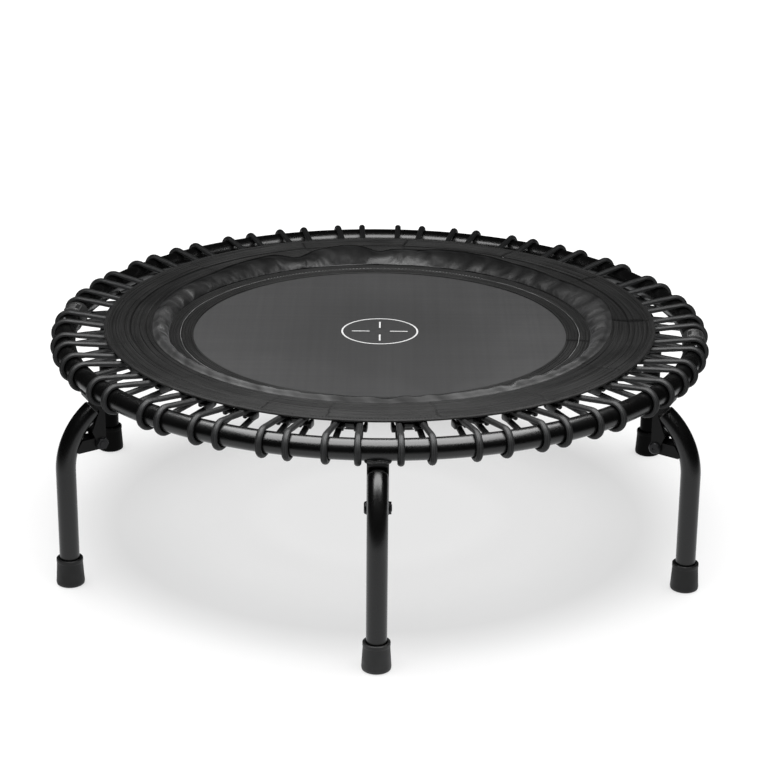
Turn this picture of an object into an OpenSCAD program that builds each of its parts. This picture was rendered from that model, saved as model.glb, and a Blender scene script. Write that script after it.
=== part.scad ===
// Six-legged folding mini trampoline.
// Millimetres. Z is up, the floor is z = 0, the hoop axis is the Z axis, the front leg points along -Y.
// One-off parts are drawn in a local frame: X outward along a radius, Y tangential, Z up.
// Names ending in _r are radii; _x and _z are a distance from the hoop axis and a height.

/* [Hoop] */
// Centreline radius of the hoop tube
hoop_r = 492.1; // [490:0.1:494]
// Radius of the hoop tube
hoop_tube_r = 15.9; // [15.5:0.1:16.1]
// Wall of the hoop tube
hoop_wall = 1.8; // [1.5:0.1:2.2]
// Height of the hoop centreline above the floor
hoop_z = 315.4; // [315:0.1:316]

/* [Legs] */
// Radius of the leg tube
leg_tube_r = 15; // [14.6:0.1:15.1]
// Wall of the leg tube
leg_wall = 1.8; // [1.5:0.1:2.2]
// Distance of the straight part of a leg from the hoop axis
leg_x = 537.3; // [537:0.1:538]
// Angle of the arched part of a leg
leg_arc = 54; // [53:0.5:55]

/* [Mat] */
// Outside radius of the skirt
mat_r = 431.8; // [430:0.1:432]
// Radius of the woven jumping surface that shows
jump_r = 293; // [280:1:300]
// Height of the top of the jumping surface
jump_z = 315; // [314.8:0.1:315.2]

/* [Cords] */
// Radius of an elastic cord
cord_r = 4.5; // [4:0.1:4.6]
// Radius of the turn a cord makes around its connector
turn_r = 15; // [14.8:0.1:15.2]

/* [Hidden] */
$fn = 48;
ring_fn = 180; // facets of the large rings

// cords: each wraps the hoop and turns around a connector above and below the mat
cords_n = 30;
cord_step = 360 / cords_n;
wrap_r = hoop_tube_r + 0.1 + cord_r;
tilt = 8.9;    // slope of a strand
splay = 3.6;   // angle of a strand from the radius, seen from above
bend_r = 20;   // bend that levels a strand before its turn
turn_x = 398;
// where the plane of one strand meets the hoop's centreline, measured from the turn
wrap_run = -turn_x * cos(splay) + sqrt(pow(turn_x * cos(splay), 2)
  - (turn_x * turn_x + turn_r * turn_r - 2 * turn_x * turn_r * sin(splay) - hoop_r * hoop_r));
strand_end = wrap_run - wrap_r * sin(tilt);
strand_start = bend_r * sin(tilt);
// height of a turn from the hoop's centreline
turn_rise = wrap_r * cos(tilt) - (strand_end - strand_start) * tan(tilt) - bend_r * (1 - cos(tilt));

// legs: upright tube, then an arch inward to the open end
leg_bottom_z = 6;
arc_r = 110;
arc_x = leg_x - arc_r;
arc_z = 185;
end_x = arc_x + arc_r * cos(leg_arc);
end_z = arc_z + arc_r * sin(leg_arc);
leg_step = 60;
az_front = -90;
az_front_right = az_front + leg_step;
az_back_right = az_front + 2 * leg_step;
az_back = az_front + 3 * leg_step;
az_back_left = az_front + 4 * leg_step;
az_front_left = az_front + 5 * leg_step;
leg_azimuths = [az_front, az_front_right, az_back_right, az_back, az_back_left, az_front_left];

// pivots and the bracket flanges that carry them
pivot_x = 484;
pivot_z = 224;
bolt_r = 5;
bush_r = 7;
flange_out = 15.5; // half width over the flanges
flange_in = 12.5;  // half width between the flanges

frame_black = [0.05, 0.05, 0.055];
lug_black = [0.06, 0.06, 0.06];
foot_black = [0.04, 0.04, 0.04];
plug_black = [0.08, 0.08, 0.08];
bolt_grey = [0.2, 0.2, 0.21];
webbing_black = [0.07, 0.07, 0.075];

// --- helpers ---

module torus_arc(ring_r, tube_r, from, to) {
  rotate([0, 0, from]) rotate_extrude(angle = to - from) translate([ring_r, 0]) circle(r = tube_r);
}

// an arc whose plane is the radial plane, angles from outward towards up
module radial_arc(x, z, ring_r, tube_r, from, to) {
  translate([x, 0, z]) rotate([90, 0, 0]) torus_arc(ring_r, tube_r, from, to);
}

// a tangential cylinder
module across(x, z, r, y0, y1) {
  translate([x, y0, z]) rotate([-90, 0, 0]) cylinder(r = r, h = y1 - y0);
}

module pivot_pin(r, y0, y1) {
  across(pivot_x, pivot_z, r, y0, y1);
}

// an outline of [x, z] points given a tangential thickness
module plate_across(points, y0, y1) {
  translate([0, y1, 0]) rotate([90, 0, 0]) linear_extrude(y1 - y0) polygon(points);
}

// a box centred on y = 0
module centred_box(x, z, size) {
  translate([x, -size.y / 2, z]) cube(size);
}

module turned(azimuth) {
  rotate([0, 0, azimuth]) children();
}

module at_legs() {
  for (azimuth = leg_azimuths) turned(azimuth) children();
}

module at_cords() {
  for (k = [0 : cords_n - 1]) turned(k * cord_step) children();
}

// --- hoop: two halves joined at opposite joints ---

joint_az = -6;
joints = [joint_az, joint_az + 180];
joint_gap = 0.03;  // degrees left at each end of a half
sleeve_angle = 16;
sleeve_gap = 0.2;
sleeve_wall = 2;
band_angle = 5.8;
band_height = 2.3; // above the hoop tube
screw_angle = 6;   // from a joint to the screw on each side of it
screw_lean = 22;   // outward from vertical
screw_r = 2.4;

// part of a ring along the hoop's centreline, with a hollow round section
module hoop_pipe(start, sweep, outer_r, inner_r) {
  translate([0, 0, hoop_z]) rotate([0, 0, start]) rotate_extrude(angle = sweep, $fn = ring_fn)
    translate([hoop_r, 0]) difference() {
      circle(r = outer_r);
      circle(r = inner_r);
    }
}

// the room the hoop tube takes up, with a gap around it
module hoop_room(gap, half_angle = 5) {
  translate([0, 0, hoop_z])
    torus_arc(hoop_r, hoop_tube_r + gap, -half_angle, half_angle, $fn = ring_fn);
}

// Z runs out of the hoop's centreline along each screw
module at_screws() {
  for (joint = joints, side = [-1, 1])
    turned(joint + side * screw_angle)
      translate([hoop_r, 0, hoop_z]) rotate([0, screw_lean, 0]) children();
}

module screw_holes(start) {
  at_screws() translate([0, 0, start]) cylinder(r = screw_r + 0.05, h = 12, $fn = 24);
}

module hoop_half(start) {
  difference() {
    hoop_pipe(start + joint_gap, 180 - 2 * joint_gap, hoop_tube_r, hoop_tube_r - hoop_wall);
    screw_holes(8);
  }
}

module hoop_front() {
  color(frame_black) hoop_half(joint_az - 180);
}

module hoop_back() {
  color(frame_black) hoop_half(joint_az);
}

module joint_sleeves() {
  sleeve_r = hoop_tube_r - hoop_wall - sleeve_gap;
  color([0.3, 0.3, 0.3]) difference() {
    for (joint = joints)
      hoop_pipe(joint - sleeve_angle / 2, sleeve_angle, sleeve_r, sleeve_r - sleeve_wall);
    screw_holes(5);
  }
}

module joint_bands() {
  color([0.06, 0.06, 0.06])
    for (joint = joints)
      hoop_pipe(joint - band_angle / 2, band_angle, hoop_tube_r + band_height, hoop_tube_r + 0.05);
}

// a saddle on top of each band, with three raised ribs
module joint_pads() {
  ribs = [-6, 0, 6];
  color([0.16, 0.16, 0.16])
    for (joint = joints)
      turned(joint) difference() {
        translate([hoop_r, 0, hoop_z]) rotate([0, 4, 0]) union() {
          intersection() {
            across(0, 0, hoop_tube_r + 5.3, -25, 25);
            centred_box(-13.2, 2, [26.4, 27.6, 30]);
            translate([0, 0, 1]) cylinder(r = 16.6, h = 32);
          }
          intersection() {
            across(0, 0, hoop_tube_r + 6, -25, 25);
            for (y = ribs) translate([-6, y - 0.8, 10]) cube([12, 1.6, 16]);
          }
        }
        hoop_room(band_height + 0.04, 4);
      }
}

// a shank and a tapered head with a hexagonal socket
module joint_screws() {
  color([0.5, 0.5, 0.52])
    at_screws() difference() {
      union() {
        translate([0, 0, 9.2]) cylinder(r = screw_r, h = 7, $fn = 24);
        translate([0, 0, hoop_tube_r + 0.25]) cylinder(r1 = 4.6, r2 = 3.4, h = 2.2, $fn = 24);
      }
      translate([0, 0, hoop_tube_r + 1.2]) cylinder(r = 1.8, h = 2, $fn = 6);
    }
}

// --- leg brackets ---

bracket_edge_x = 503.5;
// [x, z] around the side of a bracket
bracket_outline = [
  [477.5, 310], [477.5, 233], [474.8, 227.5], [474.9, 220.5], [478, 215.9], [484, 213.6],
  [489.6, 215.4], [493.2, 219.6], [493, 230], [499, 244.5], [486.6, 276], [501.5, 294.5],
  [bracket_edge_x, 306]];
// [x, z] of the space between the flanges, open outward and downward
bracket_channel = [
  [480, 291.5], [520, 291.5], [520, 200], [470, 200], [470, 240], [480, 240]];
weld_gap = 0.03;

// Z runs along the tube, out of the upper end of a leg
module at_leg_end() {
  translate([end_x, 0, end_z]) rotate([0, -leg_arc, 0]) children();
}

// the room the arch of a leg and its end plug take up
module leg_room(gap) {
  radial_arc(arc_x, arc_z, arc_r, leg_tube_r + gap, 0, leg_arc);
  at_leg_end() translate([0, 0, -0.5]) cylinder(r = leg_tube_r + gap + 0.2, h = 3.6);
}

module bracket_one() {
  difference() {
    plate_across(bracket_outline, -flange_out, flange_out);
    plate_across(bracket_channel, -flange_in, flange_in);
    hoop_room(0.03);
    leg_room(0.6);
    pivot_pin(bolt_r + 0.15, -20, 20);
  }
}

module leg_brackets() {
  color([0.055, 0.055, 0.06]) at_legs() bracket_one();
}

// a bead along the top of each flange and one across the outer edge
module weld_one() {
  bead = 0.9; // bead centre from the flange and from the hoop tube
  cut_x = 460;
  difference() {
    union() {
      for (side = [-1, 1]) translate([0, side * (flange_out + bead), 0])
        radial_arc(hoop_r, hoop_z, hoop_tube_r + bead, 2.3, -142, -46);
      across(502.2, 301.2, 3.1, -15, 15);
    }
    hoop_room(2 * weld_gap);
    centred_box(cut_x, 280, [bracket_edge_x + weld_gap - cut_x, 2 * (flange_out + weld_gap), 40]);
  }
}

module bracket_welds() {
  color([0.07, 0.07, 0.07]) at_legs() weld_one();
}

// --- pivots ---

washer_y = flange_out + 0.04;
washer_thick = 0.9;
seat_y = washer_y + washer_thick + 0.03; // inner face of the bolt head and of the nut
head_r = 9;
head_y = 18; // where the bolt head starts to taper

module pivot_bolt_one() {
  difference() {
    union() {
      pivot_pin(bolt_r, -17, 20.2);
      pivot_pin(head_r, -head_y, -seat_y);
      translate([pivot_x, -head_y, pivot_z]) rotate([90, 0, 0]) cylinder(r1 = head_r, r2 = 7, h = 1.4);
    }
    translate([pivot_x, -head_y - 0.1, pivot_z]) rotate([90, 0, 0]) cylinder(r = 3.2, h = 3, $fn = 6);
  }
}

module pivot_bolts() {
  color(bolt_grey) at_legs() pivot_bolt_one();
}

module pivot_washers() {
  color(bolt_grey) at_legs() for (y = [-washer_y - washer_thick, washer_y]) difference() {
    pivot_pin(9.6, y, y + washer_thick);
    pivot_pin(bolt_r + 0.2, y - 1, y + 3);
  }
}

module pivot_nuts() {
  color(bolt_grey) at_legs() difference() {
    translate([pivot_x, seat_y, pivot_z]) rotate([-90, 0, 0]) cylinder(r = 9.2, h = 2.9, $fn = 6);
    pivot_pin(bolt_r + 0.02, 16, 23);
  }
}

module pivot_bushes() {
  half_length = flange_in - 0.08;
  color([0.75, 0.75, 0.72]) at_legs() difference() {
    pivot_pin(bush_r, -half_length, half_length);
    pivot_pin(bolt_r + 0.04, -14, 14);
  }
}

// --- elastic cords ---

run_r = cord_r - 0.06; // the runs between the arcs are a hair thinner than the arcs
overlap = 0.5;         // how far the runs reach into the arcs
turn_shift = 0.2;      // inward shift of the turn

// puts children in the vertical plane of one strand:
// X along the strand away from the turn, Z from the hoop's height
module strand_plane(side) {
  translate([turn_x, 0, 0]) rotate([0, 0, side * splay])
    translate([0, side * turn_r, 0]) children();
}

// the upper two strands, their bends and the turn that joins them
module cord_half() {
  for (side = [-1, 1]) strand_plane(side) {
    translate([strand_start, 0, turn_rise + bend_r * (1 - cos(tilt))]) rotate([0, 90 - tilt, 0])
      translate([0, 0, -overlap])
        cylinder(r = run_r, h = (strand_end - strand_start) / cos(tilt) + 2 * overlap);
    radial_arc(0, turn_rise + bend_r, bend_r, cord_r, -90, -90 + tilt);
    translate([-turn_shift - overlap, 0, turn_rise]) rotate([0, 90, 0]) cylinder(r = run_r, h = 1.1);
  }
  translate([turn_x - turn_shift, 0, turn_rise]) torus_arc(turn_r, cord_r, 90 + splay, 270 - splay);
}

module cord_one() {
  translate([0, 0, hoop_z]) {
    for (side = [-1, 1]) strand_plane(side)
      radial_arc(wrap_run, 0, wrap_r, cord_r, -90 - tilt, 90 + tilt);
    cord_half();
    mirror([0, 0, 1]) cord_half();
  }
}

module elastic_cords() {
  color([0.1, 0.1, 0.11]) at_cords() cord_one($fn = 32);
}

// --- legs ---

// [x, z] of the lug plates that reach from the pivot to the leg
lug_outline = [
  [484, 214.8], [492, 213.8], [521, 212.5], [524, 216],
  [514, 231.5], [500, 232.3], [488, 233.2], [480, 231]];

// [radius, z] of a foot, a cup around the bottom of the leg
foot_bore_r = leg_tube_r + 0.08;
foot_floor_z = leg_bottom_z - 0.1;
foot_profile = [
  [0, 0], [18.6, 0], [20.4, 0.8], [21.3, 2.4], [21.5, 4.5], [21.2, 10], [19.5, 36.5],
  [19.9, 38.2], [19.9, 42], [18.9, 43.4],
  [foot_bore_r, 43.4], [foot_bore_r, foot_floor_z], [0, foot_floor_z]];

module leg_tube() {
  bore_r = leg_tube_r - leg_wall;
  bore_z = leg_bottom_z - 1;
  difference() {
    union() {
      translate([leg_x, 0, leg_bottom_z]) cylinder(r = leg_tube_r, h = arc_z - leg_bottom_z);
      radial_arc(arc_x, arc_z, arc_r, leg_tube_r, 0, leg_arc);
    }
    translate([leg_x, 0, bore_z]) cylinder(r = bore_r, h = arc_z - bore_z);
    radial_arc(arc_x, arc_z, arc_r, bore_r, 0, leg_arc + 1);
  }
}

// a barrel around the bush and two plates, shaped to the leg
module lug() {
  half_width = flange_in - 0.2;
  plate = 4;
  gap = 0.03;
  cut_z = 150;
  difference() {
    union() {
      pivot_pin(9.3, -half_width, half_width);
      for (y = [-half_width, half_width - plate]) plate_across(lug_outline, y, y + plate);
    }
    pivot_pin(bush_r + 0.06, -20, 20);
    leg_room(gap);
    translate([leg_x, 0, cut_z]) cylinder(r = leg_tube_r + gap, h = arc_z - cut_z + 0.01);
  }
}

module foot() {
  translate([leg_x, 0, 0]) rotate_extrude() polygon(foot_profile);
}

// a stem inside the tube, a rim on its end and a ball on top
module plug() {
  at_leg_end() {
    translate([0, 0, -10]) cylinder(r = 12.5, h = 10.1);
    translate([0, 0, 0.05]) cylinder(r = leg_tube_r - 0.3, h = 2);
    translate([0, 0, 3.2]) sphere(r = 9);
  }
}

module leg_front() { color(frame_black) turned(az_front) leg_tube(); }
module leg_front_right() { color(frame_black) turned(az_front_right) leg_tube(); }
module leg_back_right() { color(frame_black) turned(az_back_right) leg_tube(); }
module leg_back() { color(frame_black) turned(az_back) leg_tube(); }
module leg_back_left() { color(frame_black) turned(az_back_left) leg_tube(); }
module leg_front_left() { color(frame_black) turned(az_front_left) leg_tube(); }

module lug_front() { color(lug_black) turned(az_front) lug(); }
module lug_front_right() { color(lug_black) turned(az_front_right) lug(); }
module lug_back_right() { color(lug_black) turned(az_back_right) lug(); }
module lug_back() { color(lug_black) turned(az_back) lug(); }
module lug_back_left() { color(lug_black) turned(az_back_left) lug(); }
module lug_front_left() { color(lug_black) turned(az_front_left) lug(); }

module foot_front() { color(foot_black) turned(az_front) foot(); }
module foot_front_right() { color(foot_black) turned(az_front_right) foot(); }
module foot_back_right() { color(foot_black) turned(az_back_right) foot(); }
module foot_back() { color(foot_black) turned(az_back) foot(); }
module foot_back_left() { color(foot_black) turned(az_back_left) foot(); }
module foot_front_left() { color(foot_black) turned(az_front_left) foot(); }

module plug_front() { color(plug_black) turned(az_front) plug(); }
module plug_front_right() { color(plug_black) turned(az_front_right) plug(); }
module plug_back_right() { color(plug_black) turned(az_back_right) plug(); }
module plug_back() { color(plug_black) turned(az_back) plug(); }
module plug_back_left() { color(plug_black) turned(az_back_left) plug(); }
module plug_front_left() { color(plug_black) turned(az_front_left) plug(); }

// --- mat: profiles are [radius, z] ---

mat_thick = 1.6;

module band(points) {
  rotate_extrude($fn = ring_fn) polygon(points);
}

// a flat ring lying on the jumping surface
module flat_ring(inner_r, outer_r, rise) {
  bottom = jump_z + 0.01;
  top = jump_z + rise;
  band([[inner_r, bottom], [outer_r, bottom], [outer_r, top], [inner_r, top]]);
}

module jump_mat() {
  color([0.3, 0.3, 0.31])
    translate([0, 0, jump_z - mat_thick]) cylinder(r = 364, h = mat_thick, $fn = ring_fn);
}

module mat_hem() {
  color(webbing_black) flat_ring(336, 364.3, 2);
}

module skirt_ring() {
  color(webbing_black) flat_ring(jump_r, 333, 2.1);
}

// climbs from the ring to the webbing
module skirt_satin() {
  bottom = jump_z + 2.12;
  top = jump_z + 3.4;
  color([0.1, 0.1, 0.11]) band([
    [330, bottom], [334.5, bottom], [346, 327.3], [356.6, 330.3],
    [356.6, 331.6], [345, 328.5], [334, top], [330, top]]);
}

module skirt_webbing() {
  edge_r = mat_r - 1.2;
  color(webbing_black) band([[357, 330.2], [edge_r, 332.2], [edge_r, 333.8], [357, 331.8]]);
}

// folded over the outer edge of the webbing
module skirt_binding() {
  inner_r = mat_r - 8;
  fold_r = mat_r - 1.15;
  cut_r = mat_r - 20;
  color([0.08, 0.08, 0.085]) difference() {
    band([[inner_r, 331.25], [mat_r, 331.45], [mat_r, 334.5], [inner_r, 334.3]]);
    band([[cut_r, 331.6], [fold_r, 332.1], [fold_r, 333.85], [cut_r, 333.35]]);
  }
}

// --- cord connectors ---

plate_z = 313.9;
plate_thick = 3;
keeper_y = 21.7; // inner face of a keeper lump
keeper_width = 5.4;
// [x, z] of a keeper lump
keeper_outline = [
  [403.4, 309.9], [416.2, 309.9], [418.5, 312.2], [418.5, 318.6],
  [416.2, 320.9], [403.4, 320.9], [401.1, 318.6], [401.1, 312.2]];

// the moulded saddle a cord loops onto, with a keeper lump beside each strand,
// and the bar the strap holds it by
module connector_one() {
  difference() {
    union() {
      intersection() {
        union() {
          for (z = [302.2, 326.4]) translate([turn_x, 0, z]) cylinder(r = 13.2, h = 2.2);
          translate([turn_x, 0, 303]) cylinder(r = 10.2, h = 24.8);
        }
        centred_box(turn_x - 20, 300, [17, 40, 30]);
      }
      translate([turn_x, 0, plate_z]) cylinder(r = 17, h = plate_thick);
      centred_box(403.1, plate_z, [13.3, 48.8, plate_thick]);
      for (y = [-keeper_y - keeper_width, keeper_y])
        plate_across(keeper_outline, y, y + keeper_width);
      centred_box(366.3, plate_z, [26, 28, plate_thick]);
    }
    centred_box(371, 312, [2.8, 26.2, 7]);
    translate([turn_x, 0, 300]) cylinder(r = 3, h = 30, $fn = 32);
  }
}

module cord_connectors() {
  color([0.04, 0.04, 0.04]) at_cords() connector_one();
}

// a flat loop through the connector's slot, open towards the hoop axis
module strap_one() {
  difference() {
    centred_box(343, jump_z - 3.1, [29.9, 25, 6.7]);
    centred_box(342, jump_z - 1.65, [29.5, 28, 3.7]);
  }
}

module connector_straps() {
  color([0.09, 0.09, 0.095]) at_cords() strap_one();
}

hoop_front();
hoop_back();
joint_sleeves();
joint_bands();
joint_pads();
joint_screws();
leg_brackets();
bracket_welds();
pivot_bolts();
pivot_washers();
pivot_nuts();
pivot_bushes();
elastic_cords();
leg_front();
leg_front_right();
leg_back_right();
leg_back();
leg_back_left();
leg_front_left();
lug_front();
lug_front_right();
lug_back_right();
lug_back();
lug_back_left();
lug_front_left();
foot_front();
foot_front_right();
foot_back_right();
foot_back();
foot_back_left();
foot_front_left();
plug_front();
plug_front_right();
plug_back_right();
plug_back();
plug_back_left();
plug_front_left();
jump_mat();
mat_hem();
skirt_ring();
skirt_satin();
skirt_webbing();
skirt_binding();
cord_connectors();
connector_straps();
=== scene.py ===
# Mini trampoline: a hoop on six bent legs, with a mat hung inside it on thirty elastic cords.
# It stands on z = 0 about the Z axis, +Z up, with its front leg towards -Y.
# Sizes are in millimetres and meshes in metres; shader lengths are in metres.
import bpy
import math
import numpy as np
from mathutils import Matrix, Vector

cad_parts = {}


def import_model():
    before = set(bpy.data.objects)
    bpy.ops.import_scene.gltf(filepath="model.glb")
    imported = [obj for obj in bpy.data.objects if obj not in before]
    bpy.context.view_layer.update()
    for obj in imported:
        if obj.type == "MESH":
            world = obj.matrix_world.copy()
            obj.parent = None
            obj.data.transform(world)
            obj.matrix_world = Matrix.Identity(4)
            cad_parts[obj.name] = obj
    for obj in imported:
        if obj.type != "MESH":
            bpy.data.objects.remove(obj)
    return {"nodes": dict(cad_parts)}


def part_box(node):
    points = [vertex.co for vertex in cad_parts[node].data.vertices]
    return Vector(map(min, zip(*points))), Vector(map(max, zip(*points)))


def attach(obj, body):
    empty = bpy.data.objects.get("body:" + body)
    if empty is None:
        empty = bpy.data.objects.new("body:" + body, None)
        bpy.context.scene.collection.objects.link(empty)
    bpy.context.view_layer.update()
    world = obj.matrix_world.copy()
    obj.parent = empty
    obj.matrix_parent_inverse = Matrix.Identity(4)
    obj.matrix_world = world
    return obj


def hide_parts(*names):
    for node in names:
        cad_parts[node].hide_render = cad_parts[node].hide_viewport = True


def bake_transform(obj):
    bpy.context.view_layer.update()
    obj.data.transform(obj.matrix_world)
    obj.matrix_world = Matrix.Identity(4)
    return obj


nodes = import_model()["nodes"]
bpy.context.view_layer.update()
MM = 0.001
DEG = math.pi / 180
FULL = 2 * math.pi


# ------------------------------------------------------------------ driving sizes (mm, degrees)
def box_mm(name):
    low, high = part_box(name)
    return np.array(low) * 1000, np.array(high) * 1000


low, high = box_mm("hoop_front")
HOOP_TUBE = (high[2] - low[2]) / 2      # radius of the hoop's tube
HOOP_Z = (high[2] + low[2]) / 2
HOOP_R = -low[1] - HOOP_TUBE
low, high = box_mm("leg_front")
LEG_TUBE = (high[0] - low[0]) / 2       # radius of a leg's tube
LEG_AT = -low[1] - LEG_TUBE             # from the Z axis to an upright
MAT_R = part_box("skirt_binding")[1][0] * 1000
JUMP_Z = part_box("jump_mat")[1][2] * 1000
WALL = 1.8

# each leg rises, then bends inwards
BEND, BEND_R, BEND_Z = 54.0, 110.0, 185.0
BEND_AT = LEG_AT - BEND_R
LEG_END_AT = BEND_AT + BEND_R * math.cos(BEND * DEG)
LEG_END_Z = BEND_Z + BEND_R * math.sin(BEND * DEG)

JOINT_AZ = -6.0         # azimuth of the right joint of the hoop; the left one is opposite
LEGS = {"front": -90, "front_right": -30, "back_right": 30, "back": 90, "back_left": 150,
        "front_left": 210}
TURN_AT, TURN_R = 398.0, 15.0           # where a cord turns round its connector
CORD_RIBS, CORD_MEAN_R = 10, 4.4

# Each cord's shift round the hoop (degrees) and how far its strands spread (factor).
CORD_FIT = (
    (0.35, 1.0), (-0.5, 0.97), (-0.3, 1.02), (1.0, 1.0), (0.8, 1.05), (0.1, 0.97),
    (0.6, 0.96), (0.1, 1.01), (0.4, 1.01), (0.5, 1.03), (-0.1, 1.04), (0.6, 0.98),
    (-0.4, 1.02), (0.3, 1.0), (-0.35, 1.0), (0.35, 1.0), (0.5, 0.96), (-0.3, 1.03),
    (0.4, 0.98), (2.1, 0.78), (1.2, 0.9), (1.2, 0.88), (0.2, 1.06), (0.15, 1.02),
    (0.55, 1.04), (-0.4, 0.85), (-1.3, 1.03), (0.6, 1.04), (-0.3, 1.03), (-0.35, 1.0))
CORDS = len(CORD_FIT)


# ------------------------------------------------------------------ node materials
MATS = {}


class Nodes:
    """Short calls that add nodes to a tree; they take sockets or plain values."""

    def __init__(self, tree):
        self.tree = tree

    def put(self, socket, value):
        if isinstance(value, bpy.types.NodeSocket):
            self.tree.links.new(value, socket)
        else:
            socket.default_value = value

    def node(self, kind, inputs={}, **settings):
        node = self.tree.nodes.new(kind)
        for key, value in settings.items():
            setattr(node, key, value)
        for key, value in inputs.items():
            self.put(node.inputs[key], value)
        return node

    def math(self, op, a, b=0.0):
        return self.node("ShaderNodeMath", {0: a, 1: b}, operation=op).outputs[0]

    def mul(self, a, b):
        return self.math("MULTIPLY", a, b)

    def weigh(self, a, b, weights):
        """The sum of a and b, each times its weight."""
        return self.math("ADD", self.mul(a, weights[0]), self.mul(b, weights[1]))

    def radius(self, x, y):
        return self.math("SQRT", self.math("ADD", self.mul(x, x), self.mul(y, y)))

    def wave(self, value, pitch):
        return self.math("SINE", self.mul(value, FULL / pitch))

    def weave(self, wave_a, wave_b):
        return self.remap(self.mul(wave_a, wave_b), old=(-1, 1), new=(0, 1))

    def mix(self, factor, a, b):
        return self.node("ShaderNodeMix", {0: factor, 6: a, 7: b}, data_type="RGBA").outputs[2]

    def scale(self, colour, factor):
        node = self.node("ShaderNodeVectorMath", {0: colour, "Scale": factor}, operation="SCALE")
        return node.outputs[0]

    def remap(self, value, old, new, smooth=False):
        kind = "SMOOTHSTEP" if smooth else "LINEAR"
        inputs = dict(enumerate((value, *old, *new)))
        return self.node("ShaderNodeMapRange", inputs, interpolation_type=kind).outputs[0]

    def ramp(self, factor, stops):
        """A grey ramp; stops are (position, grey)."""
        node = self.node("ShaderNodeValToRGB", {0: factor})
        elements = node.color_ramp.elements
        while len(elements) < len(stops):
            elements.new(0.5)
        for element, (position, value) in zip(elements, stops):
            element.position = position
            element.color = (value, value, value, 1)
        return node.outputs[0]

    def coord(self, which="Object"):
        return self.node("ShaderNodeTexCoord").outputs[which]

    def xyz(self, vector):
        return self.node("ShaderNodeSeparateXYZ", {0: vector}).outputs

    def vec(self, x, y, z):
        return self.node("ShaderNodeCombineXYZ", {0: x, 1: y, 2: z}).outputs[0]

    def attribute(self, name):
        return self.node("ShaderNodeAttribute", attribute_name=name).outputs["Fac"]

    def noise(self, vector, scale, detail=2.0, rough=0.5):
        inputs = {"Vector": vector, "Scale": scale, "Detail": detail, "Roughness": rough}
        return self.node("ShaderNodeTexNoise", inputs).outputs["Fac"]

    def streaks(self, a, b, stretch, z=0.0, detail=2.0, rough=0.5):
        """Noise with its own scale along a and along b."""
        vector = self.vec(self.mul(a, stretch[0]), self.mul(b, stretch[1]), z)
        return self.noise(vector, scale=1.0, detail=detail, rough=rough)

    def bump(self, height, dist, strength, normal=None):
        inputs = {"Height": height, "Distance": dist, "Strength": strength}
        if normal is not None:
            inputs["Normal"] = normal
        return self.node("ShaderNodeBump", inputs).outputs["Normal"]


class Material(Nodes):
    """A new material, kept in MATS under its name."""

    def __init__(self, name):
        MATS[name] = bpy.data.materials.new(name)
        MATS[name].use_nodes = True
        super().__init__(MATS[name].node_tree)
        self.principled = self.tree.nodes["Principled BSDF"]

    def shade(self, **inputs):
        for key, value in inputs.items():
            self.put(self.principled.inputs[key.replace("_", " ")], value)

    def use_shader(self, shader):
        """Puts another shader in the place of the Principled one."""
        self.tree.nodes.remove(self.principled)
        self.put(self.tree.nodes["Material Output"].inputs["Surface"], shader)


def grey(value, tint=(1, 1, 1)):
    return (value * tint[0], value * tint[1], value * tint[2], 1)


def powder_coat():
    """Satin black with a fine orange peel; it shines less low down at the back."""
    m = Material("powder_coat")
    co = m.coord()
    peel = m.noise(co, scale=620, detail=2, rough=0.45)
    fine = m.noise(co, scale=2600, detail=1)
    cloud = m.noise(co, scale=14, detail=3, rough=0.55)
    _, y, z = m.xyz(co)
    # painted shade: reflections are turned down low at the back, where the back legs stand in
    # shade
    far = m.mul(m.remap(y, old=(0.05, 0.25), new=(0.0, 1.0), smooth=True),
                m.remap(z, old=(0.285, 0.3), new=(1.0, 0.0), smooth=True))
    m.shade(Base_Color=m.mix(cloud, grey(0.0006), grey(0.0012)),
            Roughness=m.remap(cloud, old=(0.3, 0.7), new=(0.24, 0.3)), IOR=1.5,
            Normal=m.bump(fine, dist=0.00006, strength=0.5,
                          normal=m.bump(peel, dist=0.00022, strength=0.32)),
            Specular_IOR_Level=m.remap(far, old=(0, 1), new=(0.5, 0.03)))


def bracket_coat():
    """The black of the brackets and lugs, less glossy than the tubes."""
    m = Material("bracket_coat")
    co = m.coord()
    cloud = m.noise(co, scale=30, detail=3, rough=0.55)
    grain = m.noise(co, scale=700)
    # painted shade: the gloss is turned down towards the back, where the brackets stand in shade
    m.shade(Base_Color=m.mix(cloud, grey(0.0008), grey(0.0022)),
            Roughness=m.remap(cloud, old=(0.3, 0.7), new=(0.34, 0.42)),
            Normal=m.bump(grain, dist=0.0002, strength=0.4),
            Specular_IOR_Level=m.remap(m.xyz(co)[1], old=(0.05, 0.25), new=(0.2, 0.04),
                                       smooth=True))


def weld():
    m = Material("weld")
    grain = m.noise(m.coord(), scale=900, detail=3, rough=0.6)
    m.shade(Base_Color=m.mix(grain, grey(0.008), grey(0.024)), Roughness=0.36,
            Normal=m.bump(grain, dist=0.0003, strength=0.5))


def zinc():
    m = Material("zinc")
    grain = m.noise(m.coord(), scale=1500, detail=3, rough=0.6)
    m.shade(Base_Color=m.mix(grain, (0.03, 0.03, 0.031, 1), (0.06, 0.06, 0.062, 1)),
            Metallic=1.0, Roughness=m.remap(grain, old=(0.3, 0.7), new=(0.36, 0.5)),
            Normal=m.bump(grain, dist=0.00008, strength=0.4))


def black_hardware():
    """Black oxide."""
    m = Material("black_hardware")
    co = m.coord()
    grain = m.noise(co, scale=1100, detail=3, rough=0.6)
    wear = m.noise(co, scale=160)
    m.shade(Base_Color=m.mix(wear, (0.008, 0.008, 0.009, 1), (0.02, 0.02, 0.022, 1)),
            Metallic=0.5, Roughness=m.remap(grain, old=(0.3, 0.7), new=(0.3, 0.46)),
            Normal=m.bump(grain, dist=0.0001, strength=0.4))


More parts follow.
